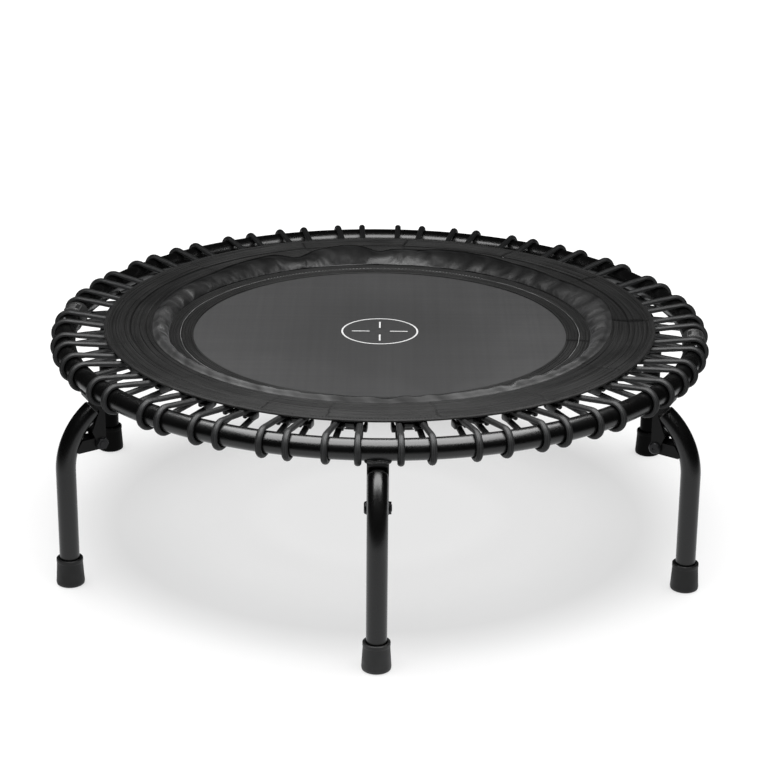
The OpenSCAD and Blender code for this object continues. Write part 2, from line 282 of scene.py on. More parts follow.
def bush_plastic():
    """Pale nylon."""
    m = Material("bush_plastic")
    grain = m.noise(m.coord(), scale=700)
    m.shade(Base_Color=m.mix(grain, (0.56, 0.55, 0.5, 1), (0.66, 0.65, 0.6, 1)),
            Roughness=0.45, Subsurface_Weight=0.1, Subsurface_Radius=(0.002, 0.002, 0.002),
            Normal=m.bump(grain, dist=0.0001, strength=0.3))


def rubber(name, dark, light, rough, raised=False, foot=False):
    """Moulded rubber: raised parts of a pad get a painted highlight, and feet get painted shade
    towards the back.
    """
    m = Material(name)
    co = m.coord()
    grain = m.noise(co, scale=1500, detail=3, rough=0.65)
    dust = m.noise(co, scale=60, detail=4, rough=0.6)
    fade, specular = 1.0, 0.4
    # painted shade: feet are darkened and lose their shine towards the back
    if foot:
        fade = m.remap(m.xyz(co)[1], old=(0.05, 0.25), new=(1.0, 0.3), smooth=True)
        specular = m.remap(m.xyz(co)[1], old=(-0.5, 0.1), new=(0.5, 0.05))
    base = m.scale(m.mix(dust, grey(dark), grey(light)), fade)
    # painted highlight: the raised rim and bars of a pad are painted paler
    if raised:
        base = m.mix(m.attribute("raised"), base, grey(0.06))
    m.shade(Base_Color=base,
            Roughness=m.remap(dust, old=(0.35, 0.7), new=(rough - 0.05, rough + 0.12)),
            Normal=m.bump(grain, dist=0.00012, strength=0.5),
            Sheen_Weight=0.0 if foot else 0.03, Specular_IOR_Level=specular)


def plug_plastic():
    m = Material("plug_plastic")
    grain = m.noise(m.coord(), scale=300)
    # painted highlight: the base is lifted to mid grey so that the dome reads lit under the
    # bracket
    m.shade(Base_Color=grey(0.05), Roughness=0.22, Coat_Weight=0.3,
            Normal=m.bump(grain, dist=0.00008, strength=0.2))


def connector_plastic():
    m = Material("connector_plastic")
    co = m.coord()
    grain = m.noise(co, scale=1200, detail=2, rough=0.6)
    m.shade(Base_Color=m.mix(m.noise(co, scale=90), grey(0.005), grey(0.009)), Roughness=0.42,
            Normal=m.bump(grain, dist=0.00008, strength=0.5))


def connector_tongue():
    # painted light: a pale grey so that the tongue reads lit, though it sits in the skirt's
    # shadow
    Material("connector_tongue").shade(Base_Color=grey(0.06), Roughness=0.5)


def cord_sheath():
    """Braid over ribs; UV u runs along the cord and v round it."""
    m = Material("cord_sheath")
    u, v, _ = m.xyz(m.coord("UV"))
    cool, pitch = (0.98, 1, 1.02), 0.0026
    braid = m.weave(m.wave(m.math("ADD", u, v), pitch), m.wave(m.math("SUBTRACT", u, v), pitch))
    fuzz = m.noise(m.coord(), scale=3200, detail=2, rough=0.6)
    lengthwise = m.streaks(v, u, stretch=(620.0, 9.0))
    rib = m.math("ABSOLUTE", m.math("SINE", m.mul(v, CORD_RIBS / 2 / (CORD_MEAN_R * MM))))
    tone = m.mix(braid, grey(0.012, cool), grey(0.023, cool))
    tone = m.mix(m.remap(lengthwise, old=(0.4, 0.62), new=(0, 0.55)), tone, grey(0.042, cool))
    # painted shade in the grooves between the ribs
    tone = m.mix(m.remap(rib, old=(0.05, 0.7), new=(0.92, 0.0), smooth=True), tone, grey(0.003))
    # painted highlight and shade: lighter where the cord faces the view, darker towards its edges
    facing = m.node("ShaderNodeLayerWeight", {"Blend": 0.5}).outputs["Facing"]
    tone = m.scale(tone, m.remap(facing, old=(0.08, 0.62), new=(1.25, 0.26), smooth=True))
    m.shade(Base_Color=tone, Roughness=0.5, Sheen_Weight=0.03, Sheen_Roughness=0.4,
            Sheen_Tint=(0.75, 0.78, 0.8, 1), Specular_IOR_Level=0.24,
            Normal=m.bump(fuzz, dist=0.0001, strength=0.35,
                          normal=m.bump(braid, dist=0.00016, strength=0.6)))


def woven_surface():
    """The jumping surface; UV is x, y. Painted light makes it lighter towards its sides and back.
    """
    m = Material("woven_surface")
    uv = m.coord("UV")
    u, v, _ = m.xyz(uv)
    cool, pitch = (1, 1, 1.01), 0.0022
    weave = m.weave(m.wave(u, pitch), m.wave(v, pitch))
    stripes = m.weigh(m.streaks(u, v, stretch=(115.0, 1.2), rough=0.6),
                      m.streaks(u, v, stretch=(1.2, 115.0), z=7.0, rough=0.6),
                      weights=(0.5, 0.5))
    pattern = m.weigh(stripes, m.noise(uv, scale=7), weights=(0.75, 0.25))
    tone = m.mix(m.remap(pattern, old=(0.36, 0.64), new=(0, 1)),
                 grey(0.030, cool), grey(0.0375, cool))
    tone = m.mix(m.mul(weave, 0.25), tone, grey(0.052))
    # painted light: lightened towards the sides and back
    outwards = m.radius(u, m.math("MAXIMUM", v, 0.0))
    tone = m.scale(tone, m.remap(outwards, old=(0.06, 0.25), new=(1.0, 1.24), smooth=True))
    m.shade(Base_Color=tone, Roughness=0.62, Specular_IOR_Level=0.05,
            Normal=m.bump(weave, dist=0.00012, strength=0.5))


# Painted shade in the grooves and laps: radius (mm), half width (mm), shade at the middle.
SKIRT_LINES = [(MAT_R - inset, half, shade) for inset, half, shade in (
    (8.0, 1.1, 0.45), (12.5, 1.0, 0.4), (18.5, 1.2, 0.35), (25.5, 0.8, 0.7), (32.0, 1.2, 0.35),
    (40.6, 2.0, 0.22), (48.0, 0.8, 0.65), (55.0, 1.1, 0.45), (65.0, 1.3, 0.4), (71.0, 0.9, 0.6))]
# Painted shade in the stitched ring's grooves, in the same columns.
RING_LINES = [
    (297.6, 1.0, 0.6), (301.5, 0.9, 0.6), (306.5, 1.0, 0.55), (311.6, 1.4, 0.3),
    (320.0, 0.9, 0.6), (324.5, 0.9, 0.6), (328.6, 1.0, 0.5)]


def webbing(name, dark, light, rough, pitch, sheen, front_gain, lines=()):
    """Woven tape; UV u runs round the ring and v across it."""
    m = Material(name)
    uv = m.coord("UV")
    u, v, _ = m.xyz(uv)
    warm = (1, 1, 0.99)
    weave = m.weave(m.wave(v, pitch), m.wave(u, pitch / 0.8))
    ribs = m.streaks(u, v, stretch=(5.0, 560.0), detail=3, rough=0.65)
    patch = m.noise(uv, scale=10, detail=3, rough=0.6)
    pattern = m.remap(m.weigh(ribs, patch, weights=(0.7, 0.3)), old=(0.38, 0.62), new=(0, 1))
    # painted sheen: lighter towards the front and the back; darker in the seams
    x, y, _ = m.xyz(m.coord())
    gain = m.mul(m.remap(y, old=(-0.38, -0.2), new=(front_gain, 1.0), smooth=True),
                 m.remap(y, old=(0.1, 0.33), new=(1.0, 2.1), smooth=True))
    gain = m.mul(gain, m.remap(m.attribute("seam"), old=(0.0, 1.0), new=(1.0, 0.06)))
    shade = 1.0
    if lines:
        # the lines waver a little in radius
        waver = m.noise(m.vec(m.mul(u, 6.0), 0.0, 3.0), scale=1.0, detail=3, rough=0.6)
        waver = m.mul(m.math("SUBTRACT", waver, 0.5), 0.0016)
        radius = m.math("ADD", m.radius(x, y), waver)
        # painted shade along each groove and lap
        for line_r, half, floor in lines:
            off = m.math("ABSOLUTE", m.math("SUBTRACT", radius, line_r * MM))
            shade = m.mul(shade, m.remap(off, old=(half * MM * 0.35, half * MM),
                                         new=(floor, 1.0), smooth=True))
    tone = m.mix(pattern, grey(dark, warm), grey(light, warm))
    m.shade(Base_Color=m.scale(tone, m.mul(gain, shade)),
            Roughness=m.remap(pattern, old=(0, 1), new=(rough, rough + 0.14)),
            Specular_IOR_Level=0.1, Sheen_Weight=sheen, Sheen_Roughness=0.45,
            Sheen_Tint=(0.8, 0.8, 0.8, 1),
            Normal=m.bump(weave, dist=0.00014, strength=0.5,
                          normal=m.bump(ribs, dist=0.0006, strength=0.7)))


def satin():
    """Smooth cloth with thread lines running outwards."""
    m = Material("satin")
    uv = m.coord("UV")
    u, v, _ = m.xyz(uv)
    threads = m.streaks(u, v, stretch=(1500.0, 60.0))
    patch = m.noise(uv, scale=22, detail=3, rough=0.55)
    y = m.xyz(m.coord())[1]
    # painted shade: darker at the back and at the front
    gain = m.mul(m.remap(y, old=(0.02, 0.27), new=(1.0, 0.75), smooth=True),
                 m.remap(y, old=(-0.33, -0.2), new=(0.6, 1.0), smooth=True))
    # painted sheen: a gain by azimuth, stored on the mesh
    gain = m.mul(gain, m.attribute("painted_sheen"))
    puckers = m.bump(m.noise(uv, scale=110, detail=3, rough=0.55), dist=0.0004, strength=0.22)
    m.shade(Base_Color=m.scale(m.mix(patch, grey(0.0075), grey(0.0115)), gain),
            Roughness=m.remap(m.weigh(threads, patch, weights=(0.5, 0.5)),
                              old=(0.3, 0.7), new=(0.4, 0.5)),
            Specular_IOR_Level=m.mul(gain, 0.36), Sheen_Weight=m.mul(gain, 0.12),
            Sheen_Roughness=0.3, Sheen_Tint=(0.85, 0.86, 0.88, 1), Anisotropic=0.35,
            Normal=m.bump(threads, dist=0.00006, strength=0.45, normal=puckers))


def thread_dark():
    m = Material("thread_dark")
    m.shade(Base_Color=m.mix(m.noise(m.coord(), scale=900), grey(0.004), grey(0.009)),
            Roughness=0.6, Specular_IOR_Level=0.15)


def thread_light():
    m = Material("thread_light")
    patch = m.noise(m.coord(), scale=18, detail=3, rough=0.6)
    m.shade(Base_Color=m.mix(m.remap(patch, old=(0.36, 0.62), new=(0, 1), smooth=True),
                             grey(0.02), grey(0.14)),
            Roughness=0.5, Sheen_Weight=0.15)


def thread_grey():
    m = Material("thread_grey")
    m.shade(Base_Color=m.mix(m.noise(m.coord(), scale=40), grey(0.02), grey(0.06)),
            Roughness=0.55)


def print_white():
    m = Material("print_white")
    co = m.coord()
    patch = m.remap(m.noise(co, scale=900), old=(0.35, 0.6), new=(0, 1))
    m.shade(Base_Color=m.mix(patch, grey(0.46), grey(0.66)), Roughness=0.5,
            Normal=m.bump(m.noise(co, scale=900), dist=0.0001, strength=0.5))


for build in (powder_coat, bracket_coat, weld, zinc, black_hardware, bush_plastic):
    build()
rubber("band_rubber", dark=0.006, light=0.010, rough=0.42)
rubber("band_pad", dark=0.010, light=0.016, rough=0.36, raised=True)
rubber("foot_rubber", dark=0.0065, light=0.011, rough=0.5, foot=True)
for build in (plug_plastic, connector_plastic, connector_tongue, cord_sheath, woven_surface):
    build()
webbing("webbing", dark=0.0038, light=0.0145, rough=0.52, pitch=0.0017, sheen=0.03,
        front_gain=1.22, lines=SKIRT_LINES)
webbing("webbing_inner", dark=0.0036, light=0.0135, rough=0.5, pitch=0.0013, sheen=0.03,
        front_gain=1.25, lines=SKIRT_LINES)
webbing("webbing_fine", dark=0.0052, light=0.0165, rough=0.5, pitch=0.0012, sheen=0.03,
        front_gain=1.5, lines=RING_LINES)
webbing("binding", dark=0.005, light=0.0125, rough=0.55, pitch=0.0011, sheen=0.05,
        front_gain=1.7)
for build in (satin, thread_dark, thread_light, thread_grey, print_white):
    build()


# ------------------------------------------------------------------ mesh helpers (input in mm)
def make(name, verts, faces, mat, smooth=True, uvs=None):
    me = bpy.data.meshes.new(name)
    me.from_pydata((np.asarray(verts, float) * MM).tolist(), [], faces)
    if uvs is not None:
        flat_uvs = (np.asarray(uvs, float) * MM).astype(np.float32).ravel()
        me.uv_layers.new(name="UVMap").data.foreach_set("uv", flat_uvs)
    me.polygons.foreach_set("use_smooth", [smooth] * len(me.polygons))
    me.materials.append(MATS[mat])
    me.update()
    return add_object(name, me)


def add_object(name, data):
    ob = bpy.data.objects.new(name, data)
    bpy.context.scene.collection.objects.link(ob)
    return ob


def discard(ob):
    me = ob.data
    bpy.data.objects.remove(ob)
    bpy.data.meshes.remove(me)


def mesh_coords(me):
    """Vertex places in metres."""
    co = np.zeros(len(me.vertices) * 3, np.float32)
    me.vertices.foreach_get("co", co)
    return co.reshape(-1, 3)


def set_attribute(ob, name, values):
    layer = ob.data.attributes.new(name, "FLOAT", "POINT")
    layer.data.foreach_set("value", values.astype(np.float32).ravel())


def grid_faces(nu, nv, wrap_u, wrap_v, base=0, flip=False):
    """Quads over a grid of points, and the (u, v) index of each of their corners."""
    a, b = np.meshgrid(np.arange(nu if wrap_u else nu - 1), np.arange(nv if wrap_v else nv - 1),
                       indexing="ij")
    steps = ((0, 0), (1, 0), (1, 1), (0, 1))
    quads = np.stack([base + ((a + i) % nu) * nv + (b + j) % nv for i, j in steps], -1)
    corners = np.stack([np.stack([a + i, b + j], -1) for i, j in steps], -2)
    quads, corners = quads.reshape(-1, 4), corners.reshape(-1, 4, 2)
    if flip:
        quads, corners = quads[:, ::-1], corners[:, ::-1]
    return quads, corners


def closed_grid(name, points, u, v, mat, flip=False):
    """A grid closed both ways; u and v hold one more value than there are points."""
    nu, nv = points.shape[:2]
    quads, corners = grid_faces(nu, nv, True, True, flip=flip)
    uvs = np.stack([np.asarray(u)[corners[..., 0]], np.asarray(v)[corners[..., 1]]], -1)
    return make(name, points.reshape(-1, 3), quads.tolist(), mat, uvs=uvs.reshape(-1, 2))


def sharp(ob, angle):
    """Keeps creases above this angle sharp."""
    ob.data.set_sharp_from_angle(angle=angle * DEG)


def arclen(points):
    return np.concatenate([[0], np.cumsum(np.linalg.norm(np.diff(points, axis=0), axis=1))])


def closed(points):
    return np.vstack([points, points[:1]])


def polar(r, azimuth, z):
    return np.stack([r * np.cos(azimuth), r * np.sin(azimuth), z], -1)


def around(n):
    return np.linspace(0, FULL, n, endpoint=False)


def soft_step(x, width):
    t = np.clip(x / width + 0.5, 0, 1)
    return t * t * (3 - 2 * t)


def ring_solid(name, prof, mat, n, fn=None):
    """A closed profile (r, z) turned about the Z axis; fn(r, azimuth, z) may displace it."""
    prof = np.asarray(prof, float)
    az = np.linspace(0, 360, n, endpoint=False)[:, None] * DEG
    r, z = np.tile(prof[:, 0], (n, 1)), np.tile(prof[:, 1], (n, 1))
    if fn is not None:
        r, z = fn(r, az, z)
    u = np.linspace(0, 360, n + 1) * DEG * prof[:, 0].mean()
    return closed_grid(name, polar(r, az, z), u, arclen(closed(prof)), mat)


def revolve(name, prof, mat, n, fn=None):
    """An open profile (r, z), its ends on the axis, turned about the Z axis."""
    prof = np.asarray(prof, float)
    mid = prof[1:-1]
    az = around(n)[:, None]
    r, z = np.tile(mid[:, 0], (n, 1)), np.tile(mid[:, 1], (n, 1))
    if fn is not None:
        r, z = fn(r, az, z)
    m = len(mid)
    quads, corners = grid_faces(n, m, True, False)
    uvs = np.stack([corners[..., 0] * (FULL * mid[:, 0].max() / n),
                    arclen(mid)[corners[..., 1]]], -1).reshape(-1, 2).tolist()
    verts = polar(r, az, z).reshape(-1, 3).tolist()
    faces = quads.tolist()
    for end, col, flip in ((prof[0], 0, False), (prof[-1], m - 1, True)):
        pole = len(verts)
        verts.append([0, 0, float(end[1])])
        for i in range(n):
            pair = [(i + 1) % n * m + col, i * m + col]
            faces.append([pole] + (pair[::-1] if flip else pair))
            uvs += [[0, 0], [1, 0], [1, 1]]
    return make(name, verts, faces, mat, uvs=uvs)


def poly_refine(pts, step):
    """Adds points along a closed polygon so that no side is longer than step."""
    out = []
    for i, p in enumerate(pts):
        q = pts[(i + 1) % len(pts)]
        k = max(1, int(math.ceil(math.dist(p, q) / step)))
        out += [(p[0] + (q[0] - p[0]) * j / k, p[1] + (q[1] - p[1]) * j / k) for j in range(k)]
    return out


def rounded(pts, radius, seg):
    """Rounds the corners of a closed polygon; radius is one value or one per corner."""
    out = []
    n = len(pts)
    radii = radius if hasattr(radius, "__len__") else [radius] * n
    for i in range(n):
        before, corner, after = (np.array(pts[(i + k - 1) % n], float) for k in range(3))
        back, ahead = before - corner, after - corner
        back_len, ahead_len = np.linalg.norm(back), np.linalg.norm(ahead)
        back, ahead = back / back_len, ahead / ahead_len
        angle = math.acos(max(-1, min(1, float(back @ ahead))))
        if radii[i] <= 0 or angle > math.pi - 0.02:
            out.append(tuple(corner))
            continue
        cut = min(radii[i] / math.tan(angle / 2), 0.49 * back_len, 0.49 * ahead_len)
        start, end = corner + back * cut, corner + ahead * cut
        for k in range(seg + 1):
            s = k / seg
            out.append(tuple((1 - s) ** 2 * start + 2 * s * (1 - s) * corner + s * s * end))
    return out


def tangents(path, loop=False):
    along = np.roll(path, -1, 0) - np.roll(path, 1, 0) if loop else np.gradient(path, axis=0)
    return along / np.linalg.norm(along, axis=1, keepdims=True)


def sweep_points(path, normals, section, loop=False):
    """Section points (across, along the normal) carried along a path."""
    along = tangents(path, loop)
    up = normals - (normals * along).sum(1, keepdims=True) * along
    up /= np.linalg.norm(up, axis=1, keepdims=True)
    across = np.cross(along, up)
    return path[:, None] + section[..., :1] * across[:, None] + section[..., 1:2] * up[:, None]


def sweep(name, path, normals, section, mat, loop=False):
    """Sweeps a closed section, fixed or one per station, on a path; an open one is capped."""
    path, section = np.asarray(path, float), np.asarray(section, float)
    n = len(path)
    if section.ndim == 2:
        section = np.repeat(section[None], n, 0)
    points = sweep_points(path, np.asarray(normals, float), section, loop)
    m = points.shape[1]
    length = arclen(closed(path) if loop else path)
    girth = arclen(closed(section[0]))
    quads, corners = grid_faces(n, m, loop, True, flip=True)
    uvs = np.stack([girth[corners[..., 1]], length[corners[..., 0]]], -1)
    uvs, faces = uvs.reshape(-1, 2).tolist(), quads.tolist()
    if not loop:
        for base, order in ((0, range(m)), ((n - 1) * m, range(m - 1, -1, -1))):
            faces.append([base + k for k in order])
            uvs += [section[0][k].tolist() for k in order]
    return make(name, points.reshape(-1, 3), faces, mat, uvs=uvs)


def double_wall(name, wall_at, lengths, radius, n_around, flip):
    """A tube with a bore; wall_at(radius) gives points, lengths the stations' v values."""
    n, m = len(lengths), n_around
    verts, faces, uvs = [], [], []
    for base, wall_r, turned in ((0, radius, flip), (n * m, radius - WALL, not flip)):
        verts.append(wall_at(wall_r).reshape(-1, 3))
        quads, corners = grid_faces(n, m, False, True, base, flip=turned)
        faces += quads.tolist()
        uvs += np.stack([corners[..., 1] * (FULL * wall_r / m), lengths[corners[..., 0]]],
                        -1).reshape(-1, 2).tolist()
    for end, turned in ((0, flip), (n - 1, not flip)):
        for k in range(m):
            a, b = end * m + k, end * m + (k + 1) % m
            face = [a, b, n * m + b, n * m + a]
            faces.append(face[::-1] if turned else face)
            uvs += [[0, 0]] * 4
    ob = make(name, np.vstack(verts), faces, "powder_coat", uvs=uvs)
    return ob


def slab(outline, z0, z1, edge, mat="connector_plastic", upright=False):
    """An extruded outline with rounded edges; upright swaps y and z."""
    line = np.asarray(outline, float)
    middle = line.mean(0)
    if np.cross(line - middle, np.roll(line, -1, 0) - middle).sum() < 0:
        line = line[::-1]
    before, after = line - np.roll(line, 1, 0), np.roll(line, -1, 0) - line
    before /= np.linalg.norm(before, axis=1, keepdims=True)
    after /= np.linalg.norm(after, axis=1, keepdims=True)
    out0, out1 = (np.stack([d[:, 1], -d[:, 0]], -1) for d in (before, after))
    out = out0 + out1
    out /= np.linalg.norm(out, axis=1, keepdims=True)
    out /= np.clip((out * out0).sum(1, keepdims=True), 0.5, 1)
    rings = []
    for angle in (0, 30, 60, 90):
        angle *= DEG
        rings.append((edge * (1 - math.sin(angle)), z0 + edge * (1 - math.cos(angle))))
    rings += [(inset, z0 + z1 - z) for inset, z in rings[::-1]]
    points = np.array([np.concatenate([line - out * inset, np.full((len(line), 1), z)], 1)
                       for inset, z in rings])
    n, m = points.shape[:2]
    quads, _ = grid_faces(n, m, False, True)
    faces = quads[:, ::-1].tolist()
    faces += [list(range(m - 1, -1, -1)), [(n - 1) * m + k for k in range(m)]]
    points = points.reshape(-1, 3)
    if upright:
        points = points[:, [0, 2, 1]]
        faces = [f[::-1] for f in faces]
    return make("part", points, faces, mat)


def rotz(points, az):
    c, s = math.cos(az * DEG), math.sin(az * DEG)
    x, y = points[..., 0], points[..., 1]
    return np.stack([x * c - y * s, x * s + y * c, points[..., 2]], -1)


def place(ob, az, local=Matrix()):
    """Moves the mesh by local, then turns it to azimuth az."""
    ob.data.transform(Matrix.Rotation(az * DEG, 4, "Z") @ local)
    ob.data.update()


def join(name, obs):
    """Merges meshes into one object."""
    verts, faces, uvs, mats, mat_index, smooth = [], [], [], [], [], []
    base = 0
    for ob in obs:
        me = ob.data
        verts.append(mesh_coords(me))
        faces += [[base + v for v in p.vertices] for p in me.polygons]
        smooth += [p.use_smooth for p in me.polygons]
        uv = np.zeros(len(me.loops) * 2, np.float32)
        if me.uv_layers:
            me.uv_layers[0].data.foreach_get("uv", uv)
        uvs.append(uv)
        if me.materials[0] not in mats:
            mats.append(me.materials[0])
        mat_index += [mats.index(me.materials[0])] * len(me.polygons)
        base += len(me.vertices)
    me = bpy.data.meshes.new(name)
    me.from_pydata(np.vstack(verts).tolist(), [], faces)
    me.uv_layers.new(name="UVMap").data.foreach_set("uv", np.concatenate(uvs))
    me.polygons.foreach_set("use_smooth", smooth)
    for mat in mats:
        me.materials.append(mat)
    me.polygons.foreach_set("material_index", mat_index)
    me.update()
    for ob in obs:
        discard(ob)
    return add_object(name, me)


# ------------------------------------------------------------------ what each piece moves with
def on_body(ob, body, replaced, crease=None):
    if crease is not None:
        sharp(ob, crease)
    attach(ob, body)
    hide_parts(replaced)


RIM_DIP = 0.42          # share of the mat's dip that reaches the skirt's rim


def dip(r):
    """1 at the centre of the mat, RIM_DIP at its rim."""
    t = np.clip((np.asarray(r, float) - 40) / (MAT_R - 40), 0, 1)
    return RIM_DIP + (1 - RIM_DIP) * 0.5 * (1 + np.cos(np.pi * t))


def dip_as_one(radius):
    """The dip at one radius for the whole piece, so that it keeps its shape."""
    return lambda r: np.full(len(r), float(dip(radius)))


def dip_cord(r):
    """None on the hoop, growing to the connector's."""
    free_from = HOOP_R - HOOP_TUBE - 8
    return float(dip(TURN_AT)) * np.clip((free_from - r) / (free_from - (TURN_AT + 4)), 0, 1)


def on_mat(ob, replaced=None, crease=None, weight=dip):
    if crease is not None:
        sharp(ob, crease)
    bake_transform(ob)
    co = mesh_coords(ob.data) * 1000
    w = weight(np.hypot(co[:, 0], co[:, 1]))
    if replaced is not None:
        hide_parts(replaced)


# ------------------------------------------------------------------ carried-over CAD nodes
def carry(name, mat, bevel):
    ob = nodes[name]
    ob.data.materials.clear()
    ob.data.materials.append(MATS[mat])
    if not bevel:
        return
    merge = ob.modifiers.new("weld", "WELD")
    merge.merge_threshold = 0.00001
    planar = ob.modifiers.new("planar", "DECIMATE")
    planar.decimate_type = "DISSOLVE"
    planar.angle_limit = 0.6 * DEG
    edges = ob.modifiers.new("bevel", "BEVEL")
    edges.width = bevel * MM
    edges.segments = 2
    edges.limit_method = "ANGLE"
    edges.angle_limit = 32 * DEG
    edges.harden_normals = False
    edges.use_clamp_overlap = True


# name, material, bevel width
for row in (("joint_sleeves", "black_hardware", 0), ("joint_screws", "zinc", 0),
            ("pivot_bolts", "black_hardware", 0.25), ("pivot_washers", "black_hardware", 0.2),
            ("pivot_nuts", "black_hardware", 0.35), ("pivot_bushes", "bush_plastic", 0.3),
            ("leg_brackets", "bracket_coat", 0.8)):
    carry(*row)
for leg in LEGS:
    carry("lug_" + leg, "bracket_coat", bevel=0.5)


# ------------------------------------------------------------------ hoop
def on_hoop(dist, azimuth, angle):
    """Points at a distance from the hoop's centre line and an angle round it (radians)."""
    dist, azimuth, angle = np.broadcast_arrays(dist, azimuth, angle)
    return polar(HOOP_R + dist * np.cos(angle), azimuth, HOOP_Z + dist * np.sin(angle))


def hoop_half(side, start):
    gap, n, m = 0.03, 540, 72
    az = np.linspace(start + gap, start + 180 - gap, n) * DEG
    ob = double_wall("hoop_%s_tube" % side, lambda r: on_hoop(r, az[:, None], around(m)),
                     np.arange(n) * (HOOP_R * (az[1] - az[0])), HOOP_TUBE, m, flip=False)
    on_body(ob, "frame", "hoop_" + side, crease=50)


hoop_half("front", JOINT_AZ - 180)
hoop_half("back", JOINT_AZ)


# ------------------------------------------------------------------ legs
def leg_tube(leg, az):
    n_straight, m = 40, 56
    bend = np.linspace(0, BEND, 50)[1:] * DEG
    angle = np.concatenate([np.zeros(n_straight), bend])
    z = np.concatenate([np.linspace(6, BEND_Z, n_straight), BEND_Z + BEND_R * np.sin(bend)])
    path = np.stack([BEND_AT + BEND_R * np.cos(angle), 0 * angle, z], -1)
    normals = np.stack([np.cos(angle), 0 * angle, np.sin(angle)], -1)
    across = np.cross(tangents(path), normals)
    th = around(m)[None, :, None]

    def wall_at(r):
        return path[:, None] + r * (np.cos(th) * across[:, None] + np.sin(th) * normals[:, None])

    ob = double_wall("leg_%s_tube" % leg, wall_at, arclen(path), LEG_TUBE, m, flip=True)
    place(ob, az)
    on_body(ob, leg + "_leg", "leg_" + leg, crease=50)


# Foot cup: (r, z) up the outside and down into the socket, with the radius of each corner.
FOOT = rounded(
    [(0, 0), (18.4, 0), (21.0, 1.6), (21.5, 5.2), (21.1, 10), (19.45, 37.0), (19.95, 38.0),
     (19.95, 42.6), (18.9, 43.4), (16.3, 43.4), (15.08, 41.6), (15.08, 5.95), (0, 5.95)],
    [0, 1.6, 1.8, 2.0, 6, 0.5, 0.5, 0.8, 0.5, 1.0, 0.6, 0.3, 0], seg=5)


def mould_lines(r, azimuth, z):
    """Two thin raised lines up the outside, on opposite sides."""
    line = np.exp(-((np.mod(azimuth + 0.2, math.pi) - 0.2) / 0.02) ** 2) * 0.12 * (r > 17)
    return r + line * (z > 2) * (z < 40), z


def foot(leg, az):
    ob = revolve("foot_%s_cup" % leg, FOOT, "foot_rubber", n=96, fn=mould_lines)
    ob.data.transform(Matrix.Translation((LEG_AT * MM, 0, 0)))
    place(ob, az)
    on_body(ob, leg + "_leg", "foot_" + leg, crease=50)


# Plug: (r, z) from inside the tube, past the flange and over the dome.
PLUG = [(0, -10), (11.6, -10), (12.5, -9.2), (12.5, 0.05), (14.2, 0.05), (14.75, 0.5),
        (14.75, 1.5), (14.3, 2.1), (13.1, 2.4)]
PLUG += [(12.8 * math.cos(a), 0.5 + 11.6 * math.sin(a)) for a in np.linspace(12, 90, 16) * DEG]


def plug(leg, az):
    ob = revolve("plug_%s_cap" % leg, PLUG, "plug_plastic", n=64)
    place(ob, az, Matrix.Translation((LEG_END_AT * MM, 0, LEG_END_Z * MM))
          @ Matrix.Rotation(-BEND * DEG, 4, "Y"))
    on_body(ob, leg + "_leg", "plug_" + leg, crease=40)


for leg, az in LEGS.items():
    leg_tube(leg, az)
    foot(leg, az)
    plug(leg, az)


# ------------------------------------------------------------------ weld beads
def bead(path, normals, radius, pitch, seed):
    """Overlapping puddles along a seam."""
    rng = np.random.RandomState(seed)
    length = arclen(path)
    s = np.linspace(0, length[-1], int(length[-1] / 0.3))
    points, ups = (np.stack([np.interp(s, length, a[:, k]) for k in range(3)], -1)
                   for a in (path, normals))
    puddle = np.mod(s / pitch + 0.12 * np.sin(s * 0.9 + rng.rand() * 6), 1)
    r = radius * (0.84 + 0.2 * np.sqrt(np.clip(1 - (2 * puddle - 1) ** 2, 0, 1)))
    r *= 1 + 0.1 * np.sin(s * 0.35 + rng.rand() * 6)
    r *= np.clip(np.minimum(s, s[-1] - s) / 1.2, 0.25, 1) ** 0.5
    th = around(20)
    oval = np.stack([np.cos(th) * 1.25, np.sin(th) * 0.85], -1)
    return sweep("bead", points, ups, r[:, None, None] * oval[None], "weld")


def cross_seam(half, n, shift, sway, heave):
    """A wavy path across the hoop's outer underside; sway and heave are (size, rate, phase)."""
    angle = -56 * DEG
    y = np.linspace(-half, half, n)
    wave_x, wave_z = (size * np.sin(y * rate + phase) for size, rate, phase in (sway, heave))
    x = HOOP_R + (HOOP_TUBE + 1.0) * math.cos(angle) + shift[0] + wave_x
    z = HOOP_Z + (HOOP_TUBE + 1.0) * math.sin(angle) + shift[1] + wave_z
    return np.stack([x, y, z], -1)


def weld_beads(i, leg, az):
    beads = []
    # one each side of the bracket, round the hoop
    angle = np.linspace(-142, -50, 60) * DEG
    for y in (-16.4, 16.4):
        path = np.stack([HOOP_R + (HOOP_TUBE + 0.9) * np.cos(angle), np.full(60, y),
                         HOOP_Z + (HOOP_TUBE + 0.9) * np.sin(angle)], -1)
        normals = np.stack([0.6 * np.cos(angle), np.full(60, np.sign(y) * 0.8),
                            0.6 * np.sin(angle)], -1)
        beads.append(bead(path, normals, radius=2.5, pitch=2.9, seed=43 + i * 7 + int(y)))
    # three across it
    first = cross_seam(15.5, 50, shift=(0, -0.8), sway=(0.5, 0.5, 0), heave=(0.9, 0.31, i))
    second = first[::-1] + np.array([-2.4, 0, -2.2])
    third = cross_seam(11.5, 40, shift=(-4.6, -5.2), sway=(0.4, 0.7, 0), heave=(0.7, 0.4, i))
    for path, radius, pitch, seed in ((first, 3.1, 3.4, 103), (second, 2.5, 3.0, 203),
                                      (third, 2.3, 3.2, 303)):
        normals = np.tile([0.8, 0, -0.6], (len(path), 1))
        beads.append(bead(path, normals, radius, pitch, seed + i))
    ob = join("weld_beads_%s" % leg, beads)
    place(ob, az)
    on_body(ob, "frame", "bracket_welds")


for i, (leg, az) in enumerate(LEGS.items()):
    weld_beads(i, leg, az)


